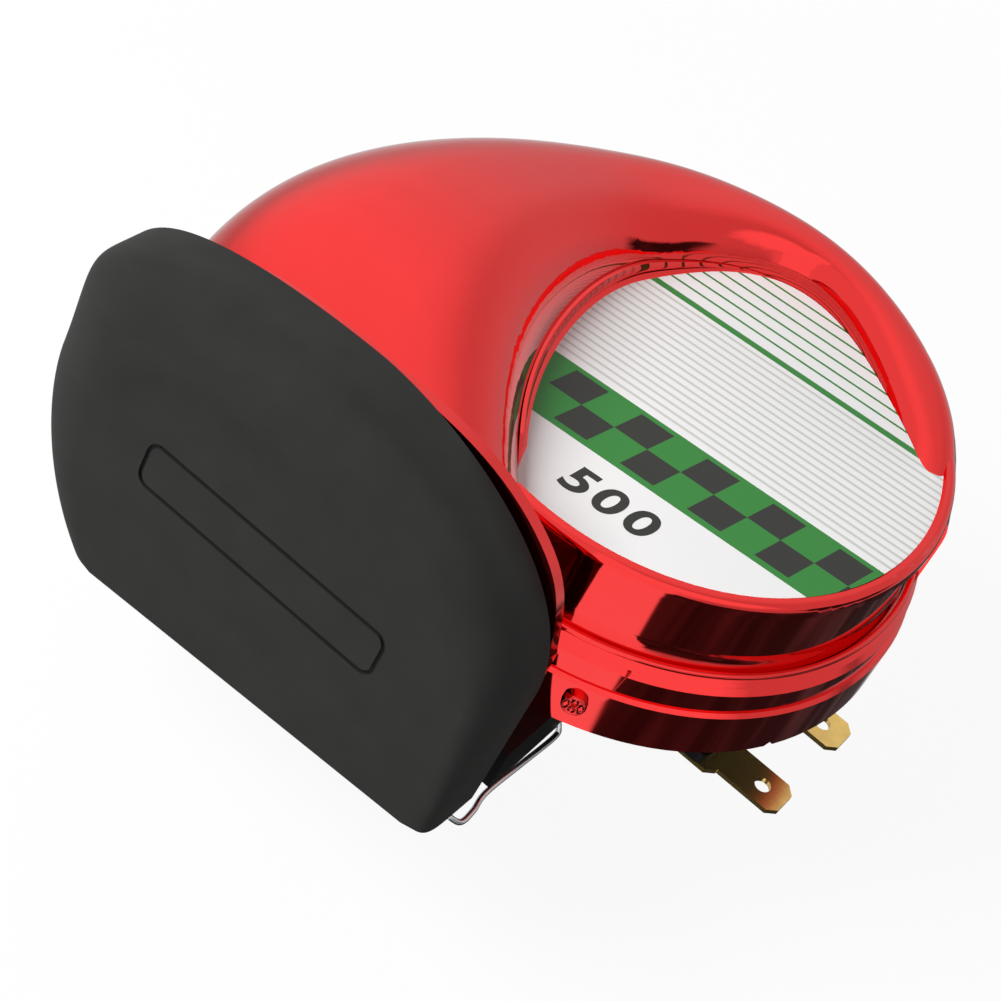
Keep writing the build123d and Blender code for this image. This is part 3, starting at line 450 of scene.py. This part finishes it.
# ---- studio ----------------------------------------------------------------------
@dataclass
class Studio:
    """Pale floor, soft lamps, world light and the camera."""

    distance: float = 338.42
    elevation: float = 44.0
    roll: float = 27.0
    turn: float = 18.0
    aside: tuple[float, float] = (25.57, 14.83)
    focal_px: float = 2600.0
    frame_px: float = 1001.0
    far_azimuth: float = 165.0
    gap_azimuth: float = 18.0
    box_azimuths: tuple[float, float] = (-79.0, -46.0)
    box_elevation: float = -66.0
    box_edge: float = 0.01
    box_gain: float = 1.25
    lobe_gains: tuple[float, float] = (1.03, 1.28)
    sky_levels: tuple[float, float] = (0.79, 1.27)
    haze_levels: tuple[float, float] = (0.82, 1.0)
    smoke_levels: tuple[float, float] = (0.03, 0.11)
    lamp_target: tuple[float, float, float] = (0, 0, 25)
    floor_glow: float = 0.92
    fill: float = 0.2
    ripple: float = 0.07

    def camera(self) -> None:
        """Set the camera from its elevation, roll and turn about the horn's axis."""
        rise, roll, turn = (math.radians(a) for a in (self.elevation, self.roll, self.turn))
        right, up = Vector((1, 0, 0)), Vector((0, math.sin(rise), math.cos(rise)))
        back = Vector((0, -math.cos(rise), math.sin(rise)))
        image_right = right * math.cos(roll) + up * math.sin(roll)
        image_up = up * math.cos(roll) - right * math.sin(roll)
        centre = (Vector((0, 0, FACE_Z)) + back * self.distance
                  - image_right * self.aside[0] - image_up * self.aside[1]) * MM
        spin = Matrix.Rotation(turn, 3, "Z")
        axes = [spin @ v for v in (image_right, image_up, back)]
        place = Matrix([[axes[c][r] for c in range(3)] + [(spin @ centre)[r]] for r in range(3)]
                       + [[0, 0, 0, 1]])
        data = bpy.data.cameras.new("camera")
        data.sensor_width = SENSOR_MM
        data.lens = self.focal_px / self.frame_px * SENSOR_MM
        data.clip_start, data.clip_end = 0.01, 20
        camera = bpy.data.objects.new("camera", data)
        camera.matrix_world = place
        bpy.context.scene.collection.objects.link(camera)
        bpy.context.scene.camera = camera

    def lamp(self, name: str, place: Sequence[float], target: Sequence[float],
             size: tuple[float, float], watts: float) -> bpy.types.Object:
        """Rectangular soft box that points at a target, in millimetres.

        Args:
            name: name of the lamp.
            place: where it stands.
            target: what it points at.
            size: its width and height.
            watts: its power.

        Returns:
            The lamp.
        """
        data = bpy.data.lights.new(name, "AREA")
        data.shape = "RECTANGLE"
        data.size, data.size_y = size[0] * MM, size[1] * MM
        data.energy = watts
        lamp = bpy.data.objects.new(name, data)
        start, end = Vector(place) * MM, Vector(target) * MM
        lamp.visible_glossy = False
        lamp.location = start
        lamp.rotation_euler = (end - start).to_track_quat("-Z", "Y").to_euler()
        bpy.context.scene.collection.objects.link(lamp)
        return lamp

    def world(self) -> None:
        """White to the camera and in reflections, plain soft grey light otherwise."""
        world = bpy.data.worlds.new("studio")
        world.use_nodes = True
        tree = world.node_tree
        tree.nodes.clear()
        camera, glossy, through = (add(tree, "ShaderNodeLightPath", out=name) for name in
                                   ("Is Camera Ray", "Is Glossy Ray", "Is Transmission Ray"))
        shown = add(tree, MATH, {0: camera, 1: through}, operation="MAXIMUM")
        white = linear(WHITE)
        plain = add(tree, "ShaderNodeBackground", {0: white, 1: self.fill})
        clear = add(tree, "ShaderNodeBackground", {0: white, 1: 1.0})
        mirror = add(tree, "ShaderNodeBackground", {0: self.room(tree), 1: 1.0})
        lit = add(tree, "ShaderNodeMixShader", {0: glossy, 1: plain, 2: mirror})
        seen = add(tree, "ShaderNodeMixShader", {0: shown, 1: lit, 2: clear})
        add(tree, "ShaderNodeOutputWorld", {0: seen})
        bpy.context.scene.world = world

    def room(self, tree: bpy.types.NodeTree) -> bpy.types.NodeSocket:
        """Studio seen in mirrors: white above and on the left, dark floor with one soft box.

        Args:
            tree: the world's node tree.

        Returns:
            The colour socket.
        """
        plain = add(tree, "ShaderNodeTexCoord", out="Generated")
        wave = add(tree, "ShaderNodeTexNoise", {"Vector": plain, "Scale": 7.0, "Detail": 3.0}, "Color")
        centred = add(tree, "ShaderNodeVectorMath", {0: wave, 1: (0.5, 0.5, 0.5)}, operation="SUBTRACT")
        moved = add(tree, "ShaderNodeVectorMath", {0: centred, "Scale": self.ripple}, operation="SCALE")
        way = add(tree, "ShaderNodeVectorMath", {0: plain, 1: moved}, operation="ADD")
        smoke = add(tree, "ShaderNodeTexNoise", {"Vector": plain, "Scale": 4.0, "Detail": 4.0,
                                                 "Distortion": 1.2}, "Fac")
        dim = add(tree, "ShaderNodeMapRange", {0: smoke, 1: 0.45, 2: 0.75, 3: self.smoke_levels[0],
                                               4: self.smoke_levels[1]})

        def side(azimuth: float, elevation: float, start: float, end: float) -> bpy.types.NodeSocket:
            """Rise from zero to one as a direction turns towards an axis."""
            a, e = math.radians(azimuth), math.radians(elevation)
            axis = (math.cos(a) * math.cos(e), math.sin(a) * math.cos(e), math.sin(e))
            along = add(tree, "ShaderNodeVectorMath", {0: way, 1: axis}, "Value",
                        operation="DOT_PRODUCT")
            return add(tree, "ShaderNodeMapRange", {0: along, 1: start, 2: end},
                       interpolation_type="SMOOTHSTEP")

        def join(work: str, *masks: object) -> bpy.types.NodeSocket:
            """Join masks by one operation, from the first to the last."""
            joined = masks[0]
            for mask in masks[1:]:
                joined = add(tree, MATH, {0: joined, 1: mask}, operation=work)
            return joined

        gap = join("MULTIPLY", side(self.gap_azimuth, 8, 0.92, 0.98), side(0, -90, -0.27, -0.19))
        upper = join("MULTIPLY", side(0, 90, -0.40, -0.24), join("SUBTRACT", 1.0, gap))
        far = side(self.far_azimuth, 0, 0.0, 0.3)
        low, edge = math.sin(math.radians(self.box_elevation)), self.box_edge
        box = join("MULTIPLY", side(self.box_azimuths[0] + 90, 0, -edge, edge),
                   side(self.box_azimuths[1] - 90, 0, -edge, edge),
                   side(0, 90, low - edge, low + edge))
        sky = add(tree, "ShaderNodeMapRange", {0: side(150, 50, 0.62, 1.04),
                                               3: self.sky_levels[0], 4: self.sky_levels[1]})
        haze = add(tree, "ShaderNodeMapRange", {0: side(0, 90, -0.1, 0.3),
                                                3: self.haze_levels[0], 4: self.haze_levels[1]})
        level = join("MAXIMUM", join("MULTIPLY", sky, haze),
                     join("MULTIPLY", side(-105, 15, 0.1, 0.5), self.lobe_gains[0]),
                     join("MULTIPLY", side(-35, 45, 0.75, 0.95), self.lobe_gains[1]))
        open_part = join("MULTIPLY", join("MAXIMUM", upper, far), level)
        bright = join("MAXIMUM", open_part, join("MULTIPLY", box, self.box_gain), dim)
        return add(tree, "ShaderNodeCombineXYZ", {0: bright, 1: bright, 2: bright})

    def floor(self) -> None:
        """Pale floor under the stud, white to the camera."""
        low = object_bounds()[0][2] / MM
        half = 3000.0
        points = np.array([[-half, -half, low], [half, -half, low], [half, half, low], [-half, half, low]])
        floor = mesh_object("floor", points, [(0, 1, 2, 3)], smooth=False)
        material = bpy.data.materials.new("pale_painted_floor")
        material.use_nodes = True
        tree = material.node_tree
        shader = tree.nodes["Principled BSDF"]
        shader.inputs["Base Color"].default_value = linear("#f2f2f2")
        shader.inputs["Roughness"].default_value = 0.8
        seen = add(tree, "ShaderNodeLightPath", out="Is Camera Ray")
        glow = add(tree, "ShaderNodeEmission", {0: linear(WHITE), 1: 1.0})
        share = add(tree, MATH, {0: seen, 1: self.floor_glow}, operation="MULTIPLY")
        mixed = add(tree, "ShaderNodeMixShader", {0: share, 1: shader.outputs[0], 2: glow})
        tree.links.new(mixed, tree.nodes["Material Output"].inputs["Surface"])
        floor.data.materials.append(material)
        floor.visible_glossy = False
        floor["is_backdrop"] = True

    def build(self) -> None:
        """Set everything up."""
        self.camera()
        self.world()
        self.floor()
        self.lamp("key", (-340, -355, 440), self.lamp_target, (320, 320), 4.9)
        self.lamp("back", (120, 620, 90), self.lamp_target, (400, 200), 3.0)


# ---- horn --------------------------------------------------------------------------
@dataclass
class Horn:
    """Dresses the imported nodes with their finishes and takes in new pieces."""

    frame: dict
    materials: dict[Slot, bpy.types.Material] = field(default_factory=dict)
    extra: dict[str, bpy.types.Material] = field(default_factory=dict)

    def place(self, piece: bpy.types.Object, slot: Slot, finish: str = "",
              body: str = "horn") -> bpy.types.Object:
        """Dress a new piece and let it ride on a body.

        Args:
            piece: the new piece.
            slot: the record's slot that it takes its finish from.
            finish: name of an extra finish instead of the slot's own.
            body: body that carries it.

        Returns:
            The piece.
        """
        piece.data.materials.append(self.extra[finish] if finish else self.materials[slot])
        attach(piece, body)
        log.info("%s placed on %s", piece.name, body)
        return piece

    def finish_nodes(self) -> None:
        """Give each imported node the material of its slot."""
        self.materials = {slot: finish.build() for slot, finish in FINISHES.items()}
        self.extra = {finish.name: finish.build() for finish in EXTRA_FINISHES}
        for part in self.frame["record"]["subparts"]:
            material = self.materials[Slot(part["material_slot"])]
            mesh = self.frame["nodes"][part["node"]].data
            mesh.materials.clear()
            mesh.materials.append(material)
            log.info("%s dressed as %s", part["node"], material.name)


@dataclass
class LabelDetails:
    """Printed numerals on the film and the moulded foot of the wall beside it."""

    horn: Horn
    turn: float = 7.1
    height: float = 4.85
    lean: float = 0.22
    bold: float = 0.2
    widen: float = 1.1
    baseline: float = -30.0
    cap_share: float = 0.7
    ink_half: float = 0.008
    ink_lift: float = 0.012
    groups: tuple[tuple[str, float], ...] = (("5", -5.75), ("0", -1.2), ("0", 3.5))
    foot: tuple[float, float] = (1.1, 2.0)
    foot_start: float = 0.36
    foot_middle: tuple[float, float] = (12.0, -6.0)

    def numerals(self) -> None:
        """Bold slanted numerals, one outline each, laid flat on the film."""
        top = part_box("face_label")[1][2]
        turn = math.radians(self.turn)
        for number, (text, along) in enumerate(self.groups):
            curve = bpy.data.curves.new("numeral", "FONT")
            curve.body = text
            curve.size = self.height / self.cap_share * MM
            curve.shear = self.lean
            curve.offset = self.bold * MM
            curve.extrude = self.ink_half * MM
            flat = bpy.data.objects.new("numeral", curve)
            made = bpy.data.objects.new(f"numeral_{number + 1}", bpy.data.meshes.new_from_object(flat))
            bpy.data.objects.remove(flat)
            bpy.context.scene.collection.objects.link(made)
            place = Matrix.Rotation(turn, 4, "Z") @ Matrix.Translation(
                Vector((along * MM, self.baseline * MM, top + self.ink_lift * MM))) @ Matrix.Scale(
                    self.widen, 4, Vector((1, 0, 0)))
            made.data.transform(place)
            made.data.materials.clear()
            make_outward(made.data)
            self.horn.place(made, Slot.FILM, "screen_ink")

    def wall_foot(self) -> None:
        """Small concave foot between the trumpet's inner wall and the film.

        The path is the film's own inner edge; the section is a quarter circle
        hollow, closed behind inside the wall, that fades out at both ends.
        """
        mesh = self.horn.frame["nodes"]["face_label"].data
        points = np.empty(len(mesh.vertices) * 3)
        mesh.vertices.foreach_get("co", points)
        points = points.reshape(-1, 3) / MM
        points = points[points[:, 2] > points[:, 2].max() - 0.02]
        radius = np.hypot(points[:, 0], points[:, 1])
        edge = points[radius < radius.max() - 0.3]
        middle = np.array(self.foot_middle)
        angle = np.arctan2(edge[:, 1] - middle[1], edge[:, 0] - middle[0]) % math.tau
        edge = edge[np.argsort(angle)]
        widest = int(np.argmax(np.diff(np.sort(angle), append=angle.min() + math.tau))) + 1
        edge = np.roll(edge, -widest, axis=0)
        step = np.linalg.norm(np.diff(edge[:, :2], axis=0), axis=1)
        edge = edge[np.concatenate([[True], step > 0.05])]
        run = np.concatenate([[0], np.cumsum(np.linalg.norm(np.diff(edge[:, :2], axis=0), axis=1))])
        share = np.linspace(self.foot_start, 1, 260)
        path = np.stack([np.interp(share * run[-1], run, edge[:, k]) for k in (0, 1)], -1)
        kernel = np.ones(9) / 9
        inner = path.copy()
        for k in (0, 1):
            inner[4:-4, k] = np.convolve(path[:, k], kernel, "valid")
        along = np.gradient(inner, axis=0)
        along /= np.linalg.norm(along, axis=1)[:, None]
        normal = np.stack([-along[:, 1], along[:, 0]], -1)
        facing = np.sign(((middle - inner) * normal).sum(1))[:, None]
        normal *= facing
        turn = np.linspace(0, math.pi / 2, 9)
        width, height = self.foot
        offset = np.concatenate([width * (1 - np.sin(turn)), [-0.5, -0.5]])
        rise = np.concatenate([height * (1 - np.cos(turn)), [height, -0.1]])
        fade = np.clip(np.minimum((share - share[0]) / 0.2, (1 - share) / 0.04), 0, 1)
        grid = np.empty((len(share), len(offset), 3))
        grid[..., :2] = inner[:, None] + normal[:, None] * (offset[None, :, None] * fade[:, None, None])
        grid[..., 2] = edge[0, 2] + rise[None] * fade[:, None]
        foot = mesh_from_grid("wall_foot", grid, wrap_v=True)
        self.horn.place(foot, Slot.RED)

    def build(self) -> None:
        """Make the numerals and the foot."""
        self.numerals()
        self.wall_foot()


def tube(name: str, stops: Sequence[Sequence[float]], radius: float, count: int = 160,
         around: int = 14) -> bpy.types.Object:
    """Round bar on a smooth path through points.

    The path is a Catmull-Rom curve: a cubic between each two stops whose slope
    at a stop is half the step between its neighbours. Rings of points stand
    square to the path, and both ends close to a point.

    Args:
        name: name of the object.
        stops: points that the path passes, in millimetres.
        radius: radius of the bar.
        count: rings along the path.
        around: points round a ring.

    Returns:
        The new object.
    """
    p = np.asarray(stops, float)
    p = np.vstack([2 * p[0] - p[1], p, 2 * p[-1] - p[-2]])
    place = np.linspace(0, len(p) - 3, count)
    k = np.minimum(place.astype(int), len(p) - 4)
    t = (place - k)[:, None]
    a, b, c, d = p[k], p[k + 1], p[k + 2], p[k + 3]
    path = b + 0.5 * t * (c - a + t * (2 * a - 5 * b + 4 * c - d + t * (3 * (b - c) + d - a)))
    ahead = np.gradient(path, axis=0)
    ahead /= np.linalg.norm(ahead, axis=1)[:, None]
    across = np.cross(ahead, (1.0, 0.31, 0.17))
    across /= np.linalg.norm(across, axis=1)[:, None]
    beside = np.cross(ahead, across)
    turn = np.linspace(0, math.tau, around, endpoint=False)
    size = radius * np.sqrt(np.clip(1 - np.linspace(-1, 1, count) ** 40, 0, 1))
    ring = (np.cos(turn)[None, :, None] * across[:, None] + np.sin(turn)[None, :, None] * beside[:, None])
    return mesh_from_grid(name, path[:, None] + ring * size[:, None, None], wrap_v=True)


@dataclass
class RainCover:
    """Rubber rain cover: an open-bottomed cap on a collar in the mouth."""

    horn: Horn
    centre: tuple[float, float, float] = (-22.4, -48.5, 32.0)
    tilt: float = 6.0
    sides: tuple[float, float] = (36.5, 37.0)
    top: float = 25.38
    low: float = 29.0
    crown_powers: tuple[tuple[float, float], tuple[float, float]] = ((1.7, 2.2), (1.9, 5.6))
    floor_powers: tuple[tuple[float, float], tuple[float, float]] = ((6.3, 13.9), (2.85, 1.76))
    rim: float = 0.8
    depth: float = 11.5
    roll: float = 7.2
    roll_sides: tuple[float, float] = (4.0, 9.4)
    roll_top: float = 8.2
    shoulder: float = 2.2
    wall: float = 1.8
    cut: tuple[float, float] = (-22.13, 0.06)
    groove: tuple[float, float, float] = (19.3, 3.6, 2.0)
    groove_at: tuple[float, float] = (1.4, -2.0)
    groove_width: float = 0.6
    groove_depth: float = 0.5
    corner_square: float = 2.0
    corner_at: float = 0.58
    corner_wide: float = 0.16
    foot_square: float = 3.0
    foot_at: float = 0.52
    foot_wide: float = 0.3
    flat_share: float = 0.45
    turned_share: float = 0.9
    rim_share: float = 0.1
    ridge: float = 1.5
    ridge_at: float = 0.42
    ridge_wide: float = 0.13
    mouth: tuple[float, float, float] = (2.2, 31.2, 21.6)
    measure: tuple[float, float] = (37.0, 27.0)
    columns: int = 480

    def outline(self) -> tuple[np.ndarray, np.ndarray]:
        """Unit outline of the cover at equal steps along its length.

        Each quarter is a superellipse: the cosine and the sine of an angle, each
        raised to two over its own power.

        Returns:
            Shares of the half width and of the half height, counter-clockwise.
        """
        angle = np.linspace(0, math.tau, 16001)
        cosine, sine = np.cos(angle), np.sin(angle)
        right, above = cosine >= 0, sine >= 0
        quarters = (*self.crown_powers, *self.floor_powers[::-1])
        where = [above & right, above & ~right, ~above & ~right]
        pu, pv = (np.select(where, [q[k] for q in quarters[:3]], quarters[3][k]) for k in (0, 1))
        u = np.sign(cosine) * np.abs(cosine) ** (2 / pu)
        v = np.sign(sine) * np.abs(sine) ** (2 / pv)
        size = np.hypot(np.diff(u * self.measure[0]), np.diff(v * self.measure[1]))
        run = np.concatenate([[0], np.cumsum(size)])
        even = np.linspace(0, run[-1], self.columns, endpoint=False)
        return np.interp(even, run, u), np.interp(even, run, v)

    def oblong(self, inset: float) -> np.ndarray:
        """Rounded oblong of the groove at equal steps, from its +X end.

        Args:
            inset: distance inside the groove's outer edge.

        Returns:
            Array of points by two.
        """
        half_l, half_h, radius = (value - inset for value in self.groove)
        turn = np.linspace(0, math.pi / 2, 60)
        corners = [(half_l - radius, half_h - radius), (radius - half_l, half_h - radius),
                   (radius - half_l, radius - half_h), (half_l - radius, radius - half_h)]
        arcs = [np.stack([x + radius * np.cos(turn + k * math.pi / 2),
                          y + radius * np.sin(turn + k * math.pi / 2)], -1)
                for k, (x, y) in enumerate(corners)]
        loop = np.concatenate([[[half_l, 0.0]], *arcs, [[half_l, 0.0]]])
        run = np.concatenate([[0], np.cumsum(np.linalg.norm(np.diff(loop, axis=0), axis=1))])
        even = np.linspace(0, run[-1], self.columns, endpoint=False)
        flat = np.stack([np.interp(even, run, loop[:, k]) for k in (0, 1)], -1)
        return flat + np.array(self.groove_at)

    def sheet(self, inset: float, rings: int, grooved: bool) -> np.ndarray:
        """Rings of one face of the cap, from its middle to its rim or cut edge.

        From the groove the face runs flat to the roll, round a superellipse whose
        power grows towards the top, and straight back to the rim. Before the roll
        it swells by a bell curve that grows with the height. Below, each column
        stops where it meets the cut plane.

        Args:
            inset: distance inside the outer face.
            rings: rings between the groove and the edge.
            grooved: press the groove into the face.

        Returns:
            Array of rings by columns by three: X, up and ahead.
        """
        c, s = self.outline()
        right = c >= 0
        half = np.where(right, *self.sides) - inset
        pull_u = np.where(right, *self.roll_sides)
        tall = np.where(s >= 0, self.top, self.low) - inset
        pull_v = np.where(s >= 0, self.roll_top, 0.0)
        share = (self.roll - inset) / self.roll
        corner = (np.arctan2(s * self.top, -c * self.sides[1]) - self.corner_at) / self.corner_wide
        foot = (np.arctan2(-s * self.low, c * self.sides[0]) - self.foot_at) / self.foot_wide
        power = (2 + self.shoulder * np.clip(s, 0, 1) ** 2 + self.corner_square * np.exp(-corner ** 2)
                 + self.foot_square * np.exp(-foot ** 2))
        q = np.linspace(0, 1, 500)[:, None]
        turn = np.clip((q - self.flat_share) / self.flat_share, 0, 1) * (math.pi / 2)
        back = (1 - np.clip(np.cos(turn), 0, 1) ** (2 / power))
        ahead = self.depth - inset - (self.roll - inset) * back
        straight = np.clip((q - self.turned_share) / self.rim_share, 0, 1)
        ahead = ahead - straight * (self.depth - self.roll - self.rim)
        swell = np.exp(-((q - self.ridge_at) / self.ridge_wide) ** 2)
        ahead = ahead + self.ridge * np.clip(s, 0, 1) * swell
        inward = (1 - np.clip(np.sin(turn), 0, 1) ** (2 / power)) * share
        u = (half - pull_u * inward) * c
        v = (tall - pull_v * inward) * s
        start = self.oblong(0.0)
        flat = np.clip(q / self.flat_share, 0, 1)
        u = start[:, 0] * (1 - flat) + u * flat
        v = start[:, 1] * (1 - flat) + v * flat
        below = v < self.cut[0] + self.cut[1] * u
        first = np.where(below.any(0), below.argmax(0), len(q) - 1)
        gap = v - self.cut[0] - self.cut[1] * u
        column = np.arange(self.columns)
        before = gap[np.maximum(first - 1, 0), column]
        after = gap[first, column]
        part = np.where(below.any(0), before / np.where(before == after, 1, before - after), 1)
        reach = (first - 1 + np.clip(part, 0, 1)) / (len(q) - 1)
        ring = np.minimum(np.linspace(0, 1, rings)[:, None], reach) * (len(q) - 1)
        lower = np.clip(ring.astype(int), 0, len(q) - 2)
        rest = ring - lower
        made = [value[lower, column] * (1 - rest) + value[lower + 1, column] * rest
                for value in (u, v, ahead * np.ones_like(u))]
        sheet = np.stack(made, -1)
        if not grooved:
            return sheet
        level = self.depth - inset
        inner = self.oblong(self.groove_width)
        floor = level - self.groove_depth
        middle = np.array(self.groove_at)
        rows = [np.column_stack([inner * k + middle * (1 - k), np.full(self.columns, level)])
                for k in (0.02, 0.35, 0.7, 1.0)]
        rows += [np.column_stack([ring_, np.full(self.columns, floor)]) for ring_ in (inner, start)]
        return np.concatenate([np.array(rows), sheet])

    def to_space(self, flat: np.ndarray) -> np.ndarray:
        """Turn X, up and ahead into points of the horn, by the mouth's lean."""
        lean = math.radians(self.tilt)
        u, v, w = flat[..., 0], flat[..., 1], flat[..., 2]
        x, y, z = self.centre
        return np.stack([x + u, y + v * math.sin(lean) - w * math.cos(lean),
                         z + v * math.cos(lean) + w * math.sin(lean)], -1)

    def cap(self) -> None:
        """Cap: outer face, cut edge and inner face as one closed surface."""
        outer = self.sheet(0.0, 150, True)
        inner = self.sheet(self.wall, 60, False)[::-1]
        poles = [np.broadcast_to(rows.mean(0), rows.shape) for rows in (outer[0], inner[-1])]
        grid = np.concatenate([poles[0][None], outer, inner, poles[1][None]])
        cap = mesh_from_grid("rain_cover_cap", self.to_space(grid), wrap_v=True)
        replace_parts(self.horn.place(cap, Slot.RUBBER), "mouth_cover")

    def collar(self) -> None:
        """Ledge inside the cap and collar in the mouth, one closed loop carried round."""
        c, s = self.outline()
        edge = np.stack([(np.where(c >= 0, *self.sides) - 0.9) * c,
                         np.maximum((np.where(s >= 0, self.top, self.low) - 0.9) * s, -23.8)], -1)
        shift, half, tall = self.mouth
        power = np.where(s >= 0, 2 / 2.9, 2 / 4.5)
        angle = np.arctan2(s * tall, c * half)

        def bore(inset: float) -> np.ndarray:
            """Mouth's outline inside by a distance."""
            u = (half - inset) * np.sign(np.cos(angle)) * np.abs(np.cos(angle)) ** power
            v = (tall - inset) * np.sign(np.sin(angle)) * np.abs(np.sin(angle)) ** power
            return np.stack([u + shift, v], -1)

        loop = [(edge, 0.82), (edge, 1.4), (bore(3.75), 1.4), (bore(3.9), -3.1), (bore(2.4), -3.1),
                (bore(2.15), 0.82)]
        grid = np.array([np.column_stack([ring, np.full(len(ring), w)]) for ring, w in loop])
        collar = mesh_from_grid("rain_cover_collar", self.to_space(grid), wrap_u=True, wrap_v=True)
        self.horn.place(collar, Slot.RUBBER)

    def build(self) -> None:
        """Make the cap and its collar."""
        self.cap()
        self.collar()


@dataclass
class SmallParts:
    """Cover's wire clip, the marks moulded in the skirt and the stud's thread."""

    horn: Horn
    clip_path: tuple[tuple[float, float, float], ...] = (
        (12.9, -30.9, 12.0), (14.3, -31.2, 10.4), (14.75, -32.4, 9.5), (14.4, -39.5, 9.4),
        (14.1, -46.7, 9.4), (14.7, -50.2, 9.3), (14.7, -53.0, 9.5), (13.2, -54.6, 10.8))
    clip_radius: float = 0.42
    skirt_radius: float = 39.7
    mark_angle: float = -66.8
    mark_level: float = 21.9
    mark_radius: float = 1.6
    mark_out: float = 0.86
    mark_back: float = -1.2
    seam_angle: float = -61.4
    seam_levels: tuple[float, float] = (25.2, 29.6)
    stud_radius: float = 4.0
    pitch: float = 1.25

    def on_skirt(self, along: np.ndarray, level: np.ndarray, out: np.ndarray,
                 degrees: float) -> np.ndarray:
        """Wrap a flat patch on the skirt: length becomes angle times radius."""
        angle = math.radians(degrees) + along / self.skirt_radius
        radius = self.skirt_radius + out
        return np.stack([radius * np.cos(angle), radius * np.sin(angle), level], -1)

    def mark(self) -> None:
        """Plain round mark: a domed rim with a raised ring and a soft ripple inside."""
        share = np.linspace(0, 1, 40)[:, None]
        turn = np.linspace(0, math.tau, 96, endpoint=False)[None]
        ripple = 0.14 * np.sin(turn * 5) * np.sin(share * math.pi * 2.5) * np.clip(1.2 - share, 0, 1)
        ring = 0.09 * np.exp(-((share - 0.82) / 0.07) ** 2)
        out = self.mark_out + ripple + ring - 0.95 * np.clip((share - 0.93) / 0.07, 0, 1) ** 2
        radius = self.mark_radius * 1.08 * share
        radius, out = np.vstack([radius, [[0.0]]]), np.vstack([out, np.full_like(out[:1], self.mark_back)])
        grid = self.on_skirt(radius * np.cos(turn), self.mark_level + radius * np.sin(turn), out,
                             self.mark_angle)
        self.horn.place(mesh_from_grid("skirt_mark", grid, wrap_v=True), Slot.RED)

    def seam(self) -> None:
        """Fine raised parting line of the mould, a low ridge up the sweep."""
        low, high = self.seam_levels
        along = np.append(np.linspace(-0.16, 0.16, 7), [0.16, -0.16])[None]
        level = np.linspace(low, high, 30)[:, None]
        out = np.append(0.07 * np.cos(along[0, :7] / 0.16 * math.pi / 2) - 0.72, [-1.1, -1.1])
        grid = self.on_skirt(along + (level - low) * 0.16, level + 0 * along, out + 0 * level,
                             self.seam_angle)
        ends = [np.broadcast_to(row.mean(0), row.shape)[None] for row in (grid[0], grid[-1])]
        grid = np.concatenate([ends[0], grid, ends[1]])
        self.horn.place(mesh_from_grid("parting_line", grid, wrap_v=True), Slot.RED)

    def stud(self) -> None:
        """Core and stud as one turned profile with a rolled thread on the free end.

        The radius falls from the crest by a rounded triangle wave of height over
        pitch minus angle over a full turn, and the wave fades out at both ends.
        """
        (_, _, low), (_, _, top) = (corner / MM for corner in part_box("core_stud"))
        core = ((0.0, top), (7.6, top), (8.0, top - 0.4), (8.0, 5.7), (4.0, 5.7), (4.0, 0.8),
                (3.6, 0.8), (3.6, -0.1))
        turns = np.linspace(-0.12, low + 0.02, 330)
        end = ((2.4, low), (0.0, low))
        z = np.concatenate([[q[1] for q in core], turns, [q[1] for q in end]])
        base = np.concatenate([[q[0] for q in core], np.full(len(turns), self.stud_radius - 0.01),
                               [q[0] for q in end]])
        angle = np.linspace(0, math.tau, 72, endpoint=False)
        wave = np.abs(((z[:, None] / self.pitch - angle / math.tau) % 1) * 2 - 1)
        free = np.clip(-z - 0.1, 0, 1) * np.clip(z - low, 0, 1)
        depth = 0.68 * np.clip(wave * 1.25 - 0.12, 0, 1) * np.clip(free * 2, 0, 1)[:, None]
        chamfer = np.clip(0.9 - (z - low), 0, 0.8) * (z < 0)
        radius = np.maximum(np.minimum(base[:, None] - depth, (base - chamfer)[:, None]), 0)
        grid = np.stack([radius * np.cos(angle), radius * np.sin(angle), z[:, None] + 0 * radius], -1)
        stud = mesh_from_grid("threaded_stud", grid, wrap_v=True)
        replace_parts(self.horn.place(stud, Slot.ZINC), "core_stud")

    def build(self) -> None:
        """Make every small part."""
        self.horn.place(tube("cover_clip", self.clip_path, self.clip_radius), Slot.ZINC)
        self.mark()
        self.seam()
        self.stud()


def main() -> None:
    """Build the scene in order and report each piece."""
    logging.basicConfig(level=logging.INFO, format="%(name)s: %(message)s")
    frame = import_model()
    scene = bpy.context.scene
    scene.view_settings.view_transform = "Standard"
    horn = Horn(frame)
    horn.finish_nodes()
    for assembly in (LabelDetails(horn), RainCover(horn), SmallParts(horn)):
        assembly.build()
    Studio().build()


if __name__ == "__main__":
    main()
